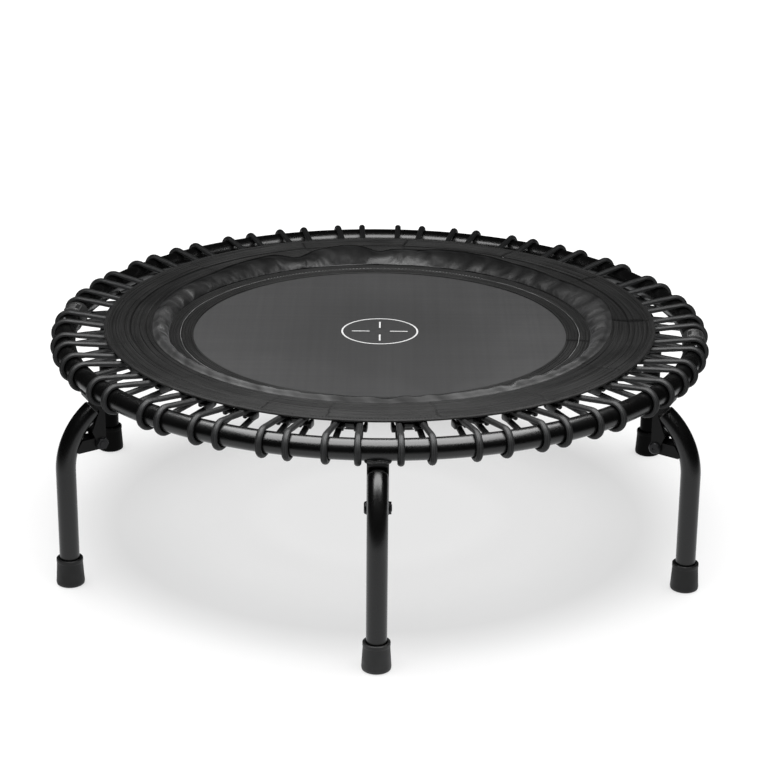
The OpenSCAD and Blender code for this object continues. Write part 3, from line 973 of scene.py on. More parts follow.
# ------------------------------------------------------------------ joint bands and pads
def joint_band(side, az):
    """A rubber sleeve round the hoop with a low ridge near each end."""
    half, m = 25.0, 96
    along = np.linspace(-half, half, 72)
    edge = np.clip(np.minimum(along + half, half - along) / 1.6, 0, 1)
    outer = HOOP_TUBE + 0.7 + 1.6 * np.sqrt(1 - (1 - edge) ** 2)
    outer += 0.35 * np.exp(-((np.abs(along) - 21) / 1.0) ** 2)
    dist = np.concatenate([outer, np.full(len(along), HOOP_TUBE + 0.05)])
    there_back = np.concatenate([along, along[::-1]])
    points = on_hoop(dist[:, None], there_back[:, None] / HOOP_R, around(m))
    ob = closed_grid("joint_band_" + side, points, np.append(there_back, there_back[0]),
                     np.linspace(0, FULL * HOOP_TUBE, m + 1), "band_rubber")
    place(ob, az)
    on_body(ob, "frame", "joint_bands", crease=60)


def joint_pad(side, az):
    """Raised rounded pad on the band: a rim, a sunk face and three plain bars."""
    nu, nv = 91, 61
    half_u, half_v, corner = 13.8, 14.4, 6.0        # along the tube, round it, corner radius
    u, v = np.meshgrid(np.linspace(-half_u - 1.2, half_u + 1.2, nu),
                       np.linspace(-half_v - 1.2, half_v + 1.2, nv), indexing="ij")
    qu, qv = np.abs(u) - (half_u - corner), np.abs(v) - (half_v - corner)
    d = np.hypot(np.maximum(qu, 0), np.maximum(qv, 0)) - corner     # distance outside the edge
    d += np.minimum(np.maximum(qu, qv), 0)
    height = 3.1 * soft_step(-d - 0.4, 1.6) - 0.9 * soft_step(-d - 2.6, 0.9)
    # painted highlight: tone marks the rim and the bars, which are painted paler
    tone = soft_step(-d - 0.2, 1.0) * (1 - soft_step(-d - 2.2, 1.0))
    for middle in (-6, 0, 6):
        bar = soft_step(-np.maximum(np.abs(u - middle) - 0.9, np.abs(v) - 6.0), 0.7)
        height += 0.75 * bar
        tone = np.maximum(tone, bar)
    angle = 86 * DEG - v / (HOOP_TUBE + 4.0)
    top = on_hoop(HOOP_TUBE + 1.6 + height, u / HOOP_R, angle)
    bottom = on_hoop(HOOP_TUBE + 1.0, u / HOOP_R, angle)
    under = nu * nv
    faces = grid_faces(nu, nv, False, False)[0].tolist()
    faces += grid_faces(nu, nv, False, False, under, flip=True)[0].tolist()
    border = [i * nv for i in range(nu)] + [(nu - 1) * nv + j for j in range(1, nv)]
    border += [i * nv + nv - 1 for i in range(nu - 2, -1, -1)] + list(range(nv - 2, 0, -1))
    for a, b in zip(border, border[1:] + border[:1]):
        faces.append([b, a, a + under, b + under])
    ob = make("joint_pad_" + side, np.vstack([top.reshape(-1, 3), bottom.reshape(-1, 3)]),
              faces, "band_pad")
    set_attribute(ob, "raised", np.concatenate([tone.ravel(), np.zeros(under)]))
    place(ob, az)
    on_body(ob, "frame", "joint_pads")


for side, az in (("right", JOINT_AZ), ("left", JOINT_AZ + 180)):
    joint_band(side, az)
    joint_pad(side, az)


# ------------------------------------------------------------------ elastic cords
# Half width and half thickness of a cord, on the hoop and on its free runs.
WRAP_W, WRAP_H = 4.85, 3.9
FREE_W, FREE_H = 4.55, 4.3


def cord_az(k):
    return k * 360 / CORDS + CORD_FIT[k][0]


def cord_path():
    """One closed loop: two strands round the hoop, joined by turns above and below the
    connector. x outwards, y across, z up from the hoop's centre; points and normals."""
    splay, bend_r, run_z = 3.6 * DEG, 20.0, 6.3
    wrap_r = HOOP_TUBE + WRAP_H + 0.05
    # along the strand, from the turn to over the hoop's centre line
    turn_x = TURN_AT * math.cos(splay)
    to_hoop2 = (TURN_AT ** 2 + TURN_R ** 2 - 2 * TURN_AT * TURN_R * math.sin(splay)
                - HOOP_R ** 2)
    wrap_x = -turn_x + math.sqrt(turn_x ** 2 - to_hoop2)
    # tilt so that the run leaves the wrap as a tangent and lands at run_z
    tilt = 8.9 * DEG
    for _ in range(30):
        leave_x = wrap_x - wrap_r * math.sin(tilt)
        bend_x = bend_r * math.sin(tilt)
        landing = (wrap_r * math.cos(tilt) - (leave_x - bend_x) * math.tan(tilt)
                   - bend_r * (1 - math.cos(tilt)))
        tilt += (landing - run_z) / 100.0
    leave_x = wrap_x - wrap_r * math.sin(tilt)
    bend_x = bend_r * math.sin(tilt)

    # (x, z, normal x, normal z): bend and run above, wrap, then the same below
    upper = [(bend_r * math.sin(a), run_z + bend_r * (1 - math.cos(a)), -math.sin(a),
              math.cos(a)) for a in np.linspace(0, tilt, 5)]
    for t in np.linspace(0, 1, 26)[1:-1]:
        x = bend_x + (leave_x - bend_x) * t
        z = run_z + bend_r * (1 - math.cos(tilt)) + (x - bend_x) * math.tan(tilt)
        upper.append((x, z, -math.sin(tilt), math.cos(tilt)))
    wrap = [(wrap_x + wrap_r * math.cos(a), wrap_r * math.sin(a), math.cos(a), math.sin(a))
            for a in np.linspace(math.pi / 2 + tilt, -math.pi / 2 - tilt, 33)]
    lower = [(x, -z, nx, -nz) for x, z, nx, nz in reversed(upper)]
    x, z, nx, nz = np.array(upper + wrap + lower).T
    c, s = math.cos(splay), math.sin(splay)

    def strand(side):
        return (np.stack([TURN_AT + x * c - TURN_R * s, side * (x * s + TURN_R * c), z], -1),
                np.stack([nx * c, side * nx * s, nz], -1))

    (left, left_n), (right, right_n) = strand(1), strand(-1)
    a = np.linspace(90 * DEG + splay, 270 * DEG - splay, 16)[1:-1]
    turn = np.stack([TURN_AT + TURN_R * np.cos(a), TURN_R * np.sin(a), 0 * a - run_z], -1)
    down = np.tile([0, 0, -1.0], (len(a), 1))
    return (np.vstack([left, turn, right[::-1], turn[::-1] * (1, 1, -1)]),
            np.vstack([left_n, down, right_n[::-1], -down]))


CORD_PATH, CORD_NORMALS = cord_path()


def cord(k):
    rng = np.random.RandomState(40 + k)
    # even spacing along the loop
    n, m = 236, 36
    length = arclen(closed(CORD_PATH))
    s = np.linspace(0, length[-1], n, endpoint=False)
    path, normals = (np.stack([np.interp(s, length, closed(a)[:, i]) for i in range(3)], -1)
                     for a in (CORD_PATH, CORD_NORMALS))
    r = np.hypot(path[:, 0], path[:, 1])
    # on the free runs the cord wanders a little
    free = np.clip((r - 412) / 20, 0, 1) * np.clip((HOOP_R - 24 - r) / 20, 0, 1)
    path[:, 1] *= 1 + (CORD_FIT[k][1] - 1) * np.clip((r - 410) / (HOOP_R - 410), 0, 1)
    path[:, 2] += free * (rng.rand() - 0.5) * 0.8
    th = around(m)[None]
    wrapped = np.clip((r - (HOOP_R - 26)) / 12, 0, 1)[:, None]
    relief = (0.38 * (np.abs(np.sin(CORD_RIBS * th / 2)) ** 0.6 - 0.72)
              + 0.05 * np.sin(s * 0.5 + rng.rand() * 6)[:, None])
    section = np.stack([(FREE_W + (WRAP_W - FREE_W) * wrapped + relief) * np.cos(th),
                        (FREE_H + (WRAP_H - FREE_H) * wrapped + relief) * np.sin(th)], -1)
    points = sweep_points(path, normals, section, loop=True)
    points[..., 2] += HOOP_Z
    ob = closed_grid("cord_%02d" % k, rotz(points, cord_az(k)),
                     np.linspace(0, length[-1], n + 1),
                     np.linspace(0, FULL * CORD_MEAN_R, m + 1), "cord_sheath", flip=True)
    on_mat(ob, "elastic_cords", weight=dip_cord)


for k in range(CORDS):
    cord(k)


# ------------------------------------------------------------------ the mat
# Azimuths where webbing strips overlap.
SPLICES = [0.3, -78.1, -100.2, -113.4, -137.0, -163, 32, 58, 84, 109, 139, 168, -32, -55]
RING_JOIN = -8.0        # azimuth where the stitched ring's tape ends meet


def wander(azimuth, seed, amps):
    """A smooth closed random function of azimuth; amps are (waves per turn, size)."""
    rng = np.random.RandomState(seed)
    out = np.zeros_like(azimuth)
    for k, size in amps:
        out = out + size * np.sin(k * azimuth + rng.rand() * FULL)
    return out


def rim_wave(azimuth):
    """Rise and fall shared by everything on the skirt."""
    return 0.8 * wander(azimuth, 33, ((2, 0.35), (3, 0.3), (5, 0.3), (9, 0.18), (17, 0.1)))


def rim_wobble(azimuth):
    """In and out shift of the skirt's webbing."""
    return 0.6 * wander(azimuth, 34, ((4, 0.25), (7, 0.2), (15, 0.12), (33, 0.08)))


def az_gap(az, at):
    """Degrees between two azimuths, 0 to 180."""
    return np.abs(np.mod(az - at + 180, 360) - 180)


def mark_seams(ob, seams):
    """Writes how deep in a seam each point lies; seams are (azimuth, half width, strength,
    inner radius, outer radius)."""
    co = mesh_coords(ob.data) * 1000
    r, az = np.hypot(co[:, 0], co[:, 1]), np.arctan2(co[:, 1], co[:, 0]) / DEG
    depth = np.zeros(len(r))
    for at, half, strength, r0, r1 in seams:
        run = az_gap(az, at + 0.25 * np.sin(r * 0.11 + at)) * DEG * r
        inside = np.clip((r - r0) / 1.5, 0, 1) * np.clip((r1 - r) / 1.5, 0, 1)
        depth = np.maximum(depth, strength * np.clip(1.3 - run / half, 0, 1) * inside)
    set_attribute(ob, "seam", depth)


def jumping_surface():
    """A thin disc, a little hollow, with UVs taken from x and y."""
    radius, thick = 364, 1.6
    top_r = [0, *np.linspace(4, radius - 1.0, 74), radius - 0.3]
    prof = [(r, JUMP_Z) for r in top_r] + [(radius, JUMP_Z - 0.4)]
    prof.append((radius, JUMP_Z - thick + 0.4))
    prof += [(r, JUMP_Z - thick) for r in (radius - 0.6, radius * 0.66, radius * 0.33, 0)]

    def sag(r, azimuth, z):
        soft = wander(azimuth, 5, ((3, 0.18), (5, 0.12), (8, 0.06)))
        return r, (z + 0.9 * (np.clip(r / radius, 0, 1) ** 2 - 1)
                   + soft * np.clip(r / 260, 0, 1) ** 2)

    ob = revolve("jumping_surface", prof, "woven_surface", n=360, fn=sag)
    me = ob.data
    corners = np.zeros(len(me.loops), np.int32)
    me.loops.foreach_get("vertex_index", corners)
    me.uv_layers[0].data.foreach_set("uv", mesh_coords(me)[corners][:, :2].ravel())
    on_mat(ob, "jump_mat", crease=50)


def centre_mark():
    """A plain printed target: a ring with four short ticks inside."""
    z0 = JUMP_Z - 0.78
    z1 = z0 + 0.28
    obs = [ring_solid("part", [(58, z0), (60.6, z0), (60.6, z1), (58, z1)], "print_white",
                      n=180)]
    tick = np.array([(x, y, z) for z in (z0, z1)
                     for x, y in ((16, -1.3), (44, -1.3), (44, 1.3), (16, 1.3))])
    faces = [[3, 2, 1, 0], [4, 5, 6, 7], [0, 1, 5, 4], [1, 2, 6, 5], [2, 3, 7, 6], [3, 0, 4, 7]]
    for az in (0, 90, 180, 270):
        obs.append(make("part", rotz(tick, az), faces, "print_white", smooth=False))
    on_mat(join("centre_mark", obs), crease=40)


jumping_surface()
centre_mark()


# -- the stitched ring on the jumping surface: two folded tapes side by side
def relief(r, rows):
    """Sum of rounded ridges; rows are (radius, height, width), grooves with a minus."""
    return sum(height * np.exp(-((r - at) / width) ** 2) for at, height, width in rows)


# Ridges along the folds, then the stitched grooves and the deeper one between the tapes.
RING_RELIEF = (
    (294.6, 0.35, 1.3), (309.5, 0.3, 1.6), (316.5, 0.35, 1.6), (331, 0.3, 1.6),
    (297.6, -0.55, 0.55), (301.5, -0.45, 0.5), (306.5, -0.4, 0.5), (313.0, -1.15, 0.9),
    (320.0, -0.45, 0.5), (324.5, -0.45, 0.5), (328.6, -0.5, 0.5))


def stitched_ring():
    r = np.linspace(293, 333, 101)
    height = (1.7 + relief(r, RING_RELIEF)) * np.clip((r - 292.9) / 0.8, 0.1, 1) ** 0.5
    prof = list(zip(r, JUMP_Z + height))
    prof += [(333, JUMP_Z + 0.05)] + [(r, JUMP_Z + 0.02) for r in (320, 306, 293)]

    def lay(r, azimuth, z):
        lift = wander(azimuth, 21, ((3, 0.2), (7, 0.2), (11, 0.15), (19, 0.1)))
        shift = wander(azimuth, 22, ((2, 0.5), (5, 0.4), (9, 0.3)))
        gap = az_gap(azimuth / DEG, RING_JOIN) * DEG * r
        seam = soft_step(1.2 - gap, 0.6) * 0.5
        return r + shift * 0.6, z + (z > JUMP_Z + 0.3) * (0.25 * lift - seam)

    ob = ring_solid("stitched_ring", prof, "webbing_fine", n=1440, fn=lay)
    mark_seams(ob, [(RING_JOIN, 4.6, 1.0, 290, 336), (RING_JOIN + 180, 2.6, 0.4, 290, 336)])
    on_mat(ob, "skirt_ring", crease=60)


def stitches(name, r, z_at, length, gap, thread_r, mat, seed, wobble=0.0, a0=0.0, a1=360.0):
    """A row of separate stitches that rise out of the cloth and dip back in;
    z_at(azimuth) is the cloth's height."""
    rng = np.random.RandomState(seed)
    span = (a1 - a0) * DEG
    count = int(round(span * r / (length + gap)))
    n = 6                               # stations along a stitch and points round it
    t = np.linspace(-0.5, 0.5, n)
    th = around(n)
    radius = thread_r * np.clip(np.cos(np.pi * t * 0.93), 0.05, 1) ** 0.4
    arch = thread_r * (1.15 * np.cos(np.pi * t) ** 0.7 - 0.75)
    verts, faces = [], []
    for k, az in enumerate(a0 * DEG + np.arange(count) * span / count):
        middle = r + wobble * (rng.rand() - 0.5)
        along = (az + t * length / middle)
        z = (z_at(along) + arch)[:, None] + radius[:, None] * np.sin(th)[None]
        verts.append(polar(middle + radius[:, None] * np.cos(th)[None], along[:, None], z))
        base = k * n * n
        faces += grid_faces(n, n, False, True, base)[0].tolist()
        faces.append([base + j for j in range(n - 1, -1, -1)])
        faces.append([base + n * (n - 1) + j for j in range(n)])
    ob = make(name, np.array(verts).reshape(-1, 3), faces, mat)
    on_mat(ob)


def ring_stitches():
    # radius, stitch length, gap, thread radius, height above the ring's top
    rows = ((297.6, 3.0, 1.2, 0.42, -0.2), (301.5, 3.0, 1.2, 0.4, -0.15),
            (306.5, 3.0, 1.2, 0.4, -0.15), (320.0, 3.2, 1.0, 0.42, -0.15),
            (324.5, 3.2, 1.0, 0.4, -0.15), (328.6, 3.2, 1.0, 0.42, -0.15))
    for i, (r, length, gap, thread_r, rise) in enumerate(rows):
        stitches("ring_stitches_%d" % i, r, lambda az: JUMP_Z + 1.75 + rise, length, gap,
                 thread_r, "thread_dark", seed=i)


def seam_thread():
    """A light thread that lies in the seam between the two tapes, left open at the back."""
    n, radius = 900, 0.5
    az = np.linspace(128.0 * DEG, 417.0 * DEG, n, endpoint=False)
    r = 313.2 + wander(az, 60, ((4, 0.5), (9, 0.35), (31, 0.2), (57, 0.12)))
    z = JUMP_Z + 1.3 + wander(az, 61, ((5, 0.15), (23, 0.15)))
    th = around(8)
    ob = sweep("seam_thread", polar(r, az, z), np.tile([0, 0, 1.0], (n, 1)),
               np.stack([radius * np.cos(th), radius * np.sin(th)], -1), "thread_light")
    on_mat(ob)


def ring_dots():
    """Two rows of loose stitches over the back of the ring."""
    for i, (r, thread_r, mat) in enumerate(((312.6, 0.62, "thread_light"),
                                            (307.6, 0.5, "thread_grey"))):
        stitches("ring_dots_%d" % i, r, lambda az: JUMP_Z + 1.75 + 0.05, 3.4, 2.6, thread_r,
                 mat, seed=70 + i, wobble=0.5, a0=57.0, a1=128.0)


stitched_ring()
ring_stitches()
seam_thread()
ring_dots()


# -- the skirt's loose inner edge: azimuth (degrees), how far it is drawn out and up (mm)
EDGE_WAVE = (
    (0, 4.6), (2, 5.3), (11.5, 8.0), (19, 7.7), (26.3, 5.5), (35.8, 3.7), (43.2, 5.0),
    (51.8, 5.7), (60.3, 8.5), (67, 9.3), (74.2, 8.7), (79.5, 5.7), (84.5, 6.4), (87.8, 5.0),
    (90.8, 1.5), (94.5, 9.0), (98.5, 12.0), (103, 10.6), (108, 7.2), (111.5, 1.6),
    (114.2, -0.6), (117, 4.8), (120, 8.0), (128.8, 6.5), (140.8, 3.3), (155, 2.7), (168, 1.4),
    (185, 0.0), (200, 0.8), (220, 0.0), (240, -0.8), (262, 0.3), (283, 0.7), (300, 0.2),
    (318, -0.6), (335, 0.6), (350, 3.0), (360, 4.6))


def edge_wave(azimuth):
    az = azimuth / DEG
    return sum(share * np.interp(np.mod(az + shift, 360), *zip(*EDGE_WAVE))
               for shift, share in ((-1.4, 0.25), (0.0, 0.5), (1.4, 0.25)))


def edge_out(azimuth):
    return 1.9 * edge_wave(azimuth)


def edge_up(azimuth):
    return 0.75 * edge_wave(azimuth)


def puff(azimuth):
    """1 in front, where the satin stands up against the skirt, 0 at the back."""
    return np.clip((0.15 - np.sin(azimuth)) / 0.95, 0, 1)


# -- satin between the ring and the skirt
SATIN_N, SATIN_M = 900, 19      # points round it and across it


def satin_grid(n):
    """Azimuth down the first axis, 0 (inner seam) to 1 (outer seam) along the second."""
    return around(n)[:, None], np.linspace(0, 1, SATIN_M)[None]


def satin_top():
    """A soft band: steep at the inner seam, level near the outer edge, with broad folds."""
    rng = np.random.RandomState(11)
    A, t = satin_grid(SATIN_N)
    front = puff(A)
    # Bezier weights and control points (r, z) across the band
    weights = ((1 - t) ** 3, 3 * t * (1 - t) ** 2, 3 * t * t * (1 - t), t ** 3)
    controls = ((331.5, JUMP_Z + 2.4), (333.0, 327.0 + 5 * front),
                (344.0, 335.0 + 10.5 * front), (361.5, 329.8))
    r = sum(w * c[0] for w, c in zip(weights, controls)) + t * edge_out(A)
    z = sum(w * c[1] for w, c in zip(weights, controls))
    bulge = np.sin(np.pi * t ** 0.9)
    folds = np.zeros_like(A)
    for k in range(23, 64, 3):
        folds = folds + rng.randn() * np.sin(k * A + rng.rand() * 6.28) / 3.7
    folds = np.sign(folds) * np.abs(folds) ** 0.8
    # more folds at azimuths 0 and 186, fewer at 215
    depth = (0.5 + wander(A, 15, ((3, 0.3), (7, 0.35), (12, 0.25)))
             + 0.55 * np.exp(-(az_gap(A / DEG, 0) / 26) ** 2)
             + 0.5 * np.exp(-((A / DEG - 186) / 12) ** 2)
             - 0.5 * np.exp(-((A / DEG - 215) / 18) ** 2))
    folds = folds * np.clip(depth, 0.08, 1.3)
    slow = wander(A, 12, ((2, 0.25), (3, 0.3), (5, 0.35), (8, 0.3), (13, 0.3)))
    z = z + bulge * (0.8 * slow + 1.35 * folds) + t ** 1.4 * (edge_up(A) + rim_wave(A))
    r = r - bulge * (0.5 * slow + 0.5 * folds)
    return polar(r, A + bulge * 0.006 * wander(A, 14, ((17, 0.7), (29, 0.7), (41, 0.5))), z)


def satin_sim(points):
    """Cloth pinned along both seams; the fabric is cut wider than its bed, so it gathers."""
    n, m = points.shape[:2]
    quads, _ = grid_faces(n, m, True, False)
    ob = make("satin_sim", points.reshape(-1, 3), quads.tolist(), "satin")
    pins = [i * m + j for i in range(n) for j in (0, m - 1)]
    ob.vertex_groups.new(name="pin").add(pins, 1.0, "REPLACE")
    cloth = ob.modifiers.new("cloth", "CLOTH")
    fabric = cloth.settings
    fabric.quality = 5
    fabric.mass = 0.15
    fabric.tension_stiffness = fabric.compression_stiffness = 18
    fabric.shear_stiffness = 6
    fabric.bending_stiffness = 3.0
    fabric.tension_damping = fabric.compression_damping = 8
    fabric.air_damping = 3
    fabric.vertex_group_mass = "pin"
    fabric.pin_stiffness = 1
    fabric.shrink_min = fabric.shrink_max = -0.008
    fabric.use_pressure = True
    fabric.uniform_pressure_force = 0.35
    fabric.effector_weights.gravity = 0
    cloth.collision_settings.use_collision = False
    cloth.collision_settings.use_self_collision = False
    scene = bpy.context.scene
    frames = 24
    scene.frame_start, scene.frame_end = 1, frames
    cloth.point_cache.frame_start, cloth.point_cache.frame_end = 1, frames
    for frame in range(1, frames + 1):
        scene.frame_set(frame)
        bpy.context.view_layer.update()
    evaluated = ob.evaluated_get(bpy.context.evaluated_depsgraph_get())
    settled = mesh_coords(evaluated.data).reshape(n, m, 3).astype(float) * 1000
    discard(ob)
    scene.frame_set(1)
    # a simulation that blew up leaves the satin as it was drawn
    if not np.isfinite(settled).all():
        return points
    move = settled - points
    dist = np.linalg.norm(move, axis=-1, keepdims=True)
    furthest, share = 4.0, 0.7
    settled = points + share * move * np.minimum(1, furthest / np.maximum(dist, 1e-9))
    settled[..., 2] = np.maximum(settled[..., 2], JUMP_Z + 2.3)
    return settled


def double_round(P):
    """Twice as many points round the band, on a smooth curve."""
    fine = np.zeros((len(P) * 2, *P.shape[1:]))
    fine[::2] = P
    fine[1::2] = (9 * (P + np.roll(P, -1, 0)) - np.roll(P, 1, 0) - np.roll(P, -2, 0)) / 16
    return fine


def creases(points):
    """Height of sharp short folds that start at the outer seam and fade over the crest."""
    rng = np.random.RandomState(27)
    A, t = satin_grid(len(points))
    dz = np.zeros(points.shape[:2])
    for _ in range(30):
        at, slant = rng.rand() * FULL, rng.randn() * 0.03
        reach = 0.35 + 0.6 * rng.rand() ** 1.5
        depth = 0.3 + 0.5 * rng.rand()
        wide = 2.4 + 3.2 * rng.rand()
        d = (np.mod(A - at - slant * (1 - t) + math.pi, FULL) - math.pi) * 347
        along = np.clip((t - (1 - reach)) / reach, 0, 1) ** 0.7 * np.clip((1 - t) / 0.06, 0, 1)
        dz += along * depth * (-np.exp(-(d / wide) ** 2)
                               + 0.55 * np.exp(-((d - 2.1 * wide) / (1.2 * wide)) ** 2)
                               + 0.4 * np.exp(-((d + 2.3 * wide) / (1.2 * wide)) ** 2))
    return dz


def shell(name, points, thick, mat, u, v):
    """A closed thin shell under an open grid that wraps in its first index."""
    normals = np.cross(np.roll(points, -1, 0) - np.roll(points, 1, 0),
                       np.gradient(points, axis=1))
    normals /= np.linalg.norm(normals, axis=-1, keepdims=True)
    flip = normals[..., 2].mean() < 0
    if flip:
        normals = -normals
    under = points - normals * thick
    return closed_grid(name, np.concatenate([points, under[:, ::-1]], 1), u,
                       np.concatenate([v, v[::-1], v[:1]]), mat, flip=flip)


# Painted sheen on the satin, a gain on its colour and shine: azimuth (degrees), gain.
SATIN_PAINTED_SHEEN = (
    (0, 1.15), (10, 1.25), (20, 1.3), (30, 1.15), (40, 1.0), (60, 0.85), (72, 0.95),
    (79, 1.65), (86, 1.75), (91, 1.2), (95, 0.9), (99, 1.6), (106, 1.6), (112, 1.1),
    (120, 0.95), (140, 0.9), (155, 1.1), (170, 1.15), (176, 1.7), (181, 1.2), (186, 1.7),
    (195, 1.5), (210, 1.65), (225, 1.65), (240, 1.25), (253, 0.75), (262, 0.5), (278, 0.5),
    (287, 0.75), (300, 1.2), (320, 1.75), (335, 1.5), (350, 1.2), (360, 1.15))


def satin_painted_sheen(n):
    # painted sheen: the table's gain, mottled and lightest across the middle of the band
    az = np.linspace(0, 360, n, endpoint=False)[:, None]
    t = np.linspace(0, 1, SATIN_M)[None]
    mottle = wander(az * DEG + 0.08 * np.sin(3 * t), 44,
                    ((31, 0.1), (47, 0.12), (71, 0.08), (113, 0.06)))
    gain = (np.interp(az, *zip(*SATIN_PAINTED_SHEEN)) * (1 + mottle * (0.5 + t))
            * (0.9 + 0.2 * np.sin(np.pi * t)))
    return np.concatenate([gain, gain[:, ::-1]], 1)


def satin_gather():
    points = satin_top()
    points = satin_sim(points)
    points = double_round(points)
    points[..., 2] += creases(points)
    # a soft ceiling that comes down towards the outer seam
    n = len(points)
    A, t = satin_grid(n)
    z = points[..., 2]
    ceiling = (336.8 + edge_up(A) + 7.5 * puff(A) * (1 - t)
               - 7.2 * np.clip((t - 0.45) / 0.38, 0, 1) ** 1.5)
    points[..., 2] = np.where(z > ceiling - 1, ceiling - 1 + np.tanh(z - ceiling + 1), z)
    ob = shell("satin_gather", points, 0.55, "satin", np.linspace(0, FULL * 347, n + 1),
               np.linspace(0, 40, SATIN_M))
    set_attribute(ob, "painted_sheen", satin_painted_sheen(n))
    on_mat(ob, "skirt_satin")


satin_gather()


# -- skirt webbing: two strips, the outer lapped on the inner
def strip_fn(top_z, lap):
    """Lays a strip: its splices overlap by lap, and its inner part follows the loose edge."""
    def lay(r, azimuth, z):
        az = azimuth / DEG
        past = np.min([np.mod(az - s, 360) for s in SPLICES], axis=0) * DEG * r
        ahead = np.min([np.mod(s - az, 360) for s in SPLICES], axis=0) * DEG * r
        rise = lap * (1 - np.clip(past, 0, 60) / 60) * soft_step(past - 0.4, 0.8)
        rise = rise - 0.5 * np.exp(-((ahead - 0.9) / 0.9) ** 2)
        loose = np.clip((393 - r) / 36.5, 0, 1)
        return (r + rim_wobble(azimuth) + edge_out(azimuth) * loose,
                z + rim_wave(azimuth) + (z > top_z) * rise + edge_up(azimuth) * loose ** 1.3)
    return lay


def strip_profile(r0, r1, z0, z1, thick, rows):
    """Section (r, z) of a strip with relief rows on top."""
    r = np.linspace(r0, r1, int((r1 - r0) / 0.55))
    z = z0 + (z1 - z0) * (r - r0) / (r1 - r0)
    edge = np.clip(np.minimum(r - r0, r1 - r) / 0.9, 0, 1)
    top = z + relief(r, rows) - (1 - np.sqrt(1 - (1 - edge) ** 2)) * thick * 0.45
    return list(zip(r, top)) + list(zip(r[::-6], (z - thick)[::-6]))


def fine_ribs(r0, r1, pitch, height):
    return [(at, height, pitch * 0.28) for at in np.arange(r0 + pitch, r1 - pitch * 0.5, pitch)]


def webbing_inner():
    grooves = [(360.5, -0.45, 0.5), (366.8, -0.8, 0.55), (376.8, -0.35, 0.5),
               (388.5, -0.45, 0.5)]
    prof = strip_profile(356.5, 393, 331.3, 332.4, 1.0, grooves + fine_ribs(357, 392, 1.9, 0.13))
    ob = ring_solid("webbing_inner", prof, "webbing_inner", n=1200, fn=strip_fn(331.2, lap=0.5))
    mark_seams(ob, [(az, 2.2, 0.45, 357, 392) for az in SPLICES] + [(0.9, 5.0, 0.95, 366, 394)])
    on_mat(ob, "skirt_webbing", crease=60)


def webbing_outer():
    rows = [(393.4, -0.4, 0.4), (399.8, -0.85, 0.55), (406.2, -0.3, 0.45),
            (413.3, -0.8, 0.55), (419.3, -0.75, 0.5),
            (392.2, 0.35, 0.8), (401.8, 0.3, 1.2), (415.2, 0.3, 1.2)]
    prof = strip_profile(391.0, MAT_R - 1.6, 333.3, 333.9, 1.3,
                         rows + fine_ribs(391.5, 429.5, 2.1, 0.14))
    ob = ring_solid("webbing_outer", prof, "webbing", n=1440, fn=strip_fn(332.9, lap=1.15))
    mark_seams(ob, [(az, 1.9, 0.92, 390, 424) for az in SPLICES] + [(0.3, 6.2, 1.0, 390, 416)])
    on_mat(ob, "skirt_webbing", crease=60)


def binding_tape():
    """Tape folded over the rim."""
    inner, fold, fold_at = 424.3, 2.0, MAT_R - 2.0
    prof = [(423.9, 334.15)]
    prof += [(r, 334.75 + 0.12 * math.sin((r - 424) * 3.0))
             for r in np.linspace(inner, fold_at, 14)]
    prof += [(fold_at + fold * math.cos(a), 333.0 + 1.75 * math.sin(a))
             for a in np.linspace(80, -80, 13) * DEG]
    prof += [(r, 331.25) for r in np.linspace(fold_at, inner, 8)]
    prof += [(423.9, 331.7), (423.9, 332.9)]

    def lay(r, azimuth, z):
        pucker = 0.12 * wander(azimuth, 77, ((61, 0.5), (97, 0.5), (149, 0.4)))
        return r + rim_wobble(azimuth), z + rim_wave(azimuth) + pucker * (z > 333)

    ob = ring_solid("binding_tape", prof, "binding", n=1440, fn=lay)
    on_mat(ob, "skirt_binding", crease=60)


def skirt_stitches():
    for i, (r, z) in enumerate(((425.6, 334.75), (413.3, 333.3), (399.8, 333.0))):
        stitches("skirt_stitches_%d" % i, r, lambda az: z + rim_wave(az) + 0.1, 3.2, 1.2, 0.42,
                 "thread_dark", seed=90 + i)


def load_hem():
    """The hem under the skirt."""
    z = JUMP_Z + 1.9
    grooves = [(339, -0.3, 0.4), (361, -0.3, 0.4)]
    prof = strip_profile(336.2, 364.2, z, z, 1.85, grooves + fine_ribs(337, 363.5, 2.0, 0.1))
    on_mat(ring_solid("load_hem", prof, "webbing", n=720), "mat_hem", crease=60)


webbing_inner()
webbing_outer()
binding_tape()
skirt_stitches()
load_hem()


# ------------------------------------------------------------------ connectors and straps
BAR_Z = 315.4           # the bar that a strap goes round


def saddle(radius, cut):
    """A circle about the cord's turn, cut off on its outer side at x = cut."""
    a = math.acos((cut - TURN_AT) / radius)
    return [(TURN_AT + radius * math.cos(t), radius * math.sin(t))
            for t in np.linspace(a, FULL - a, 26)]


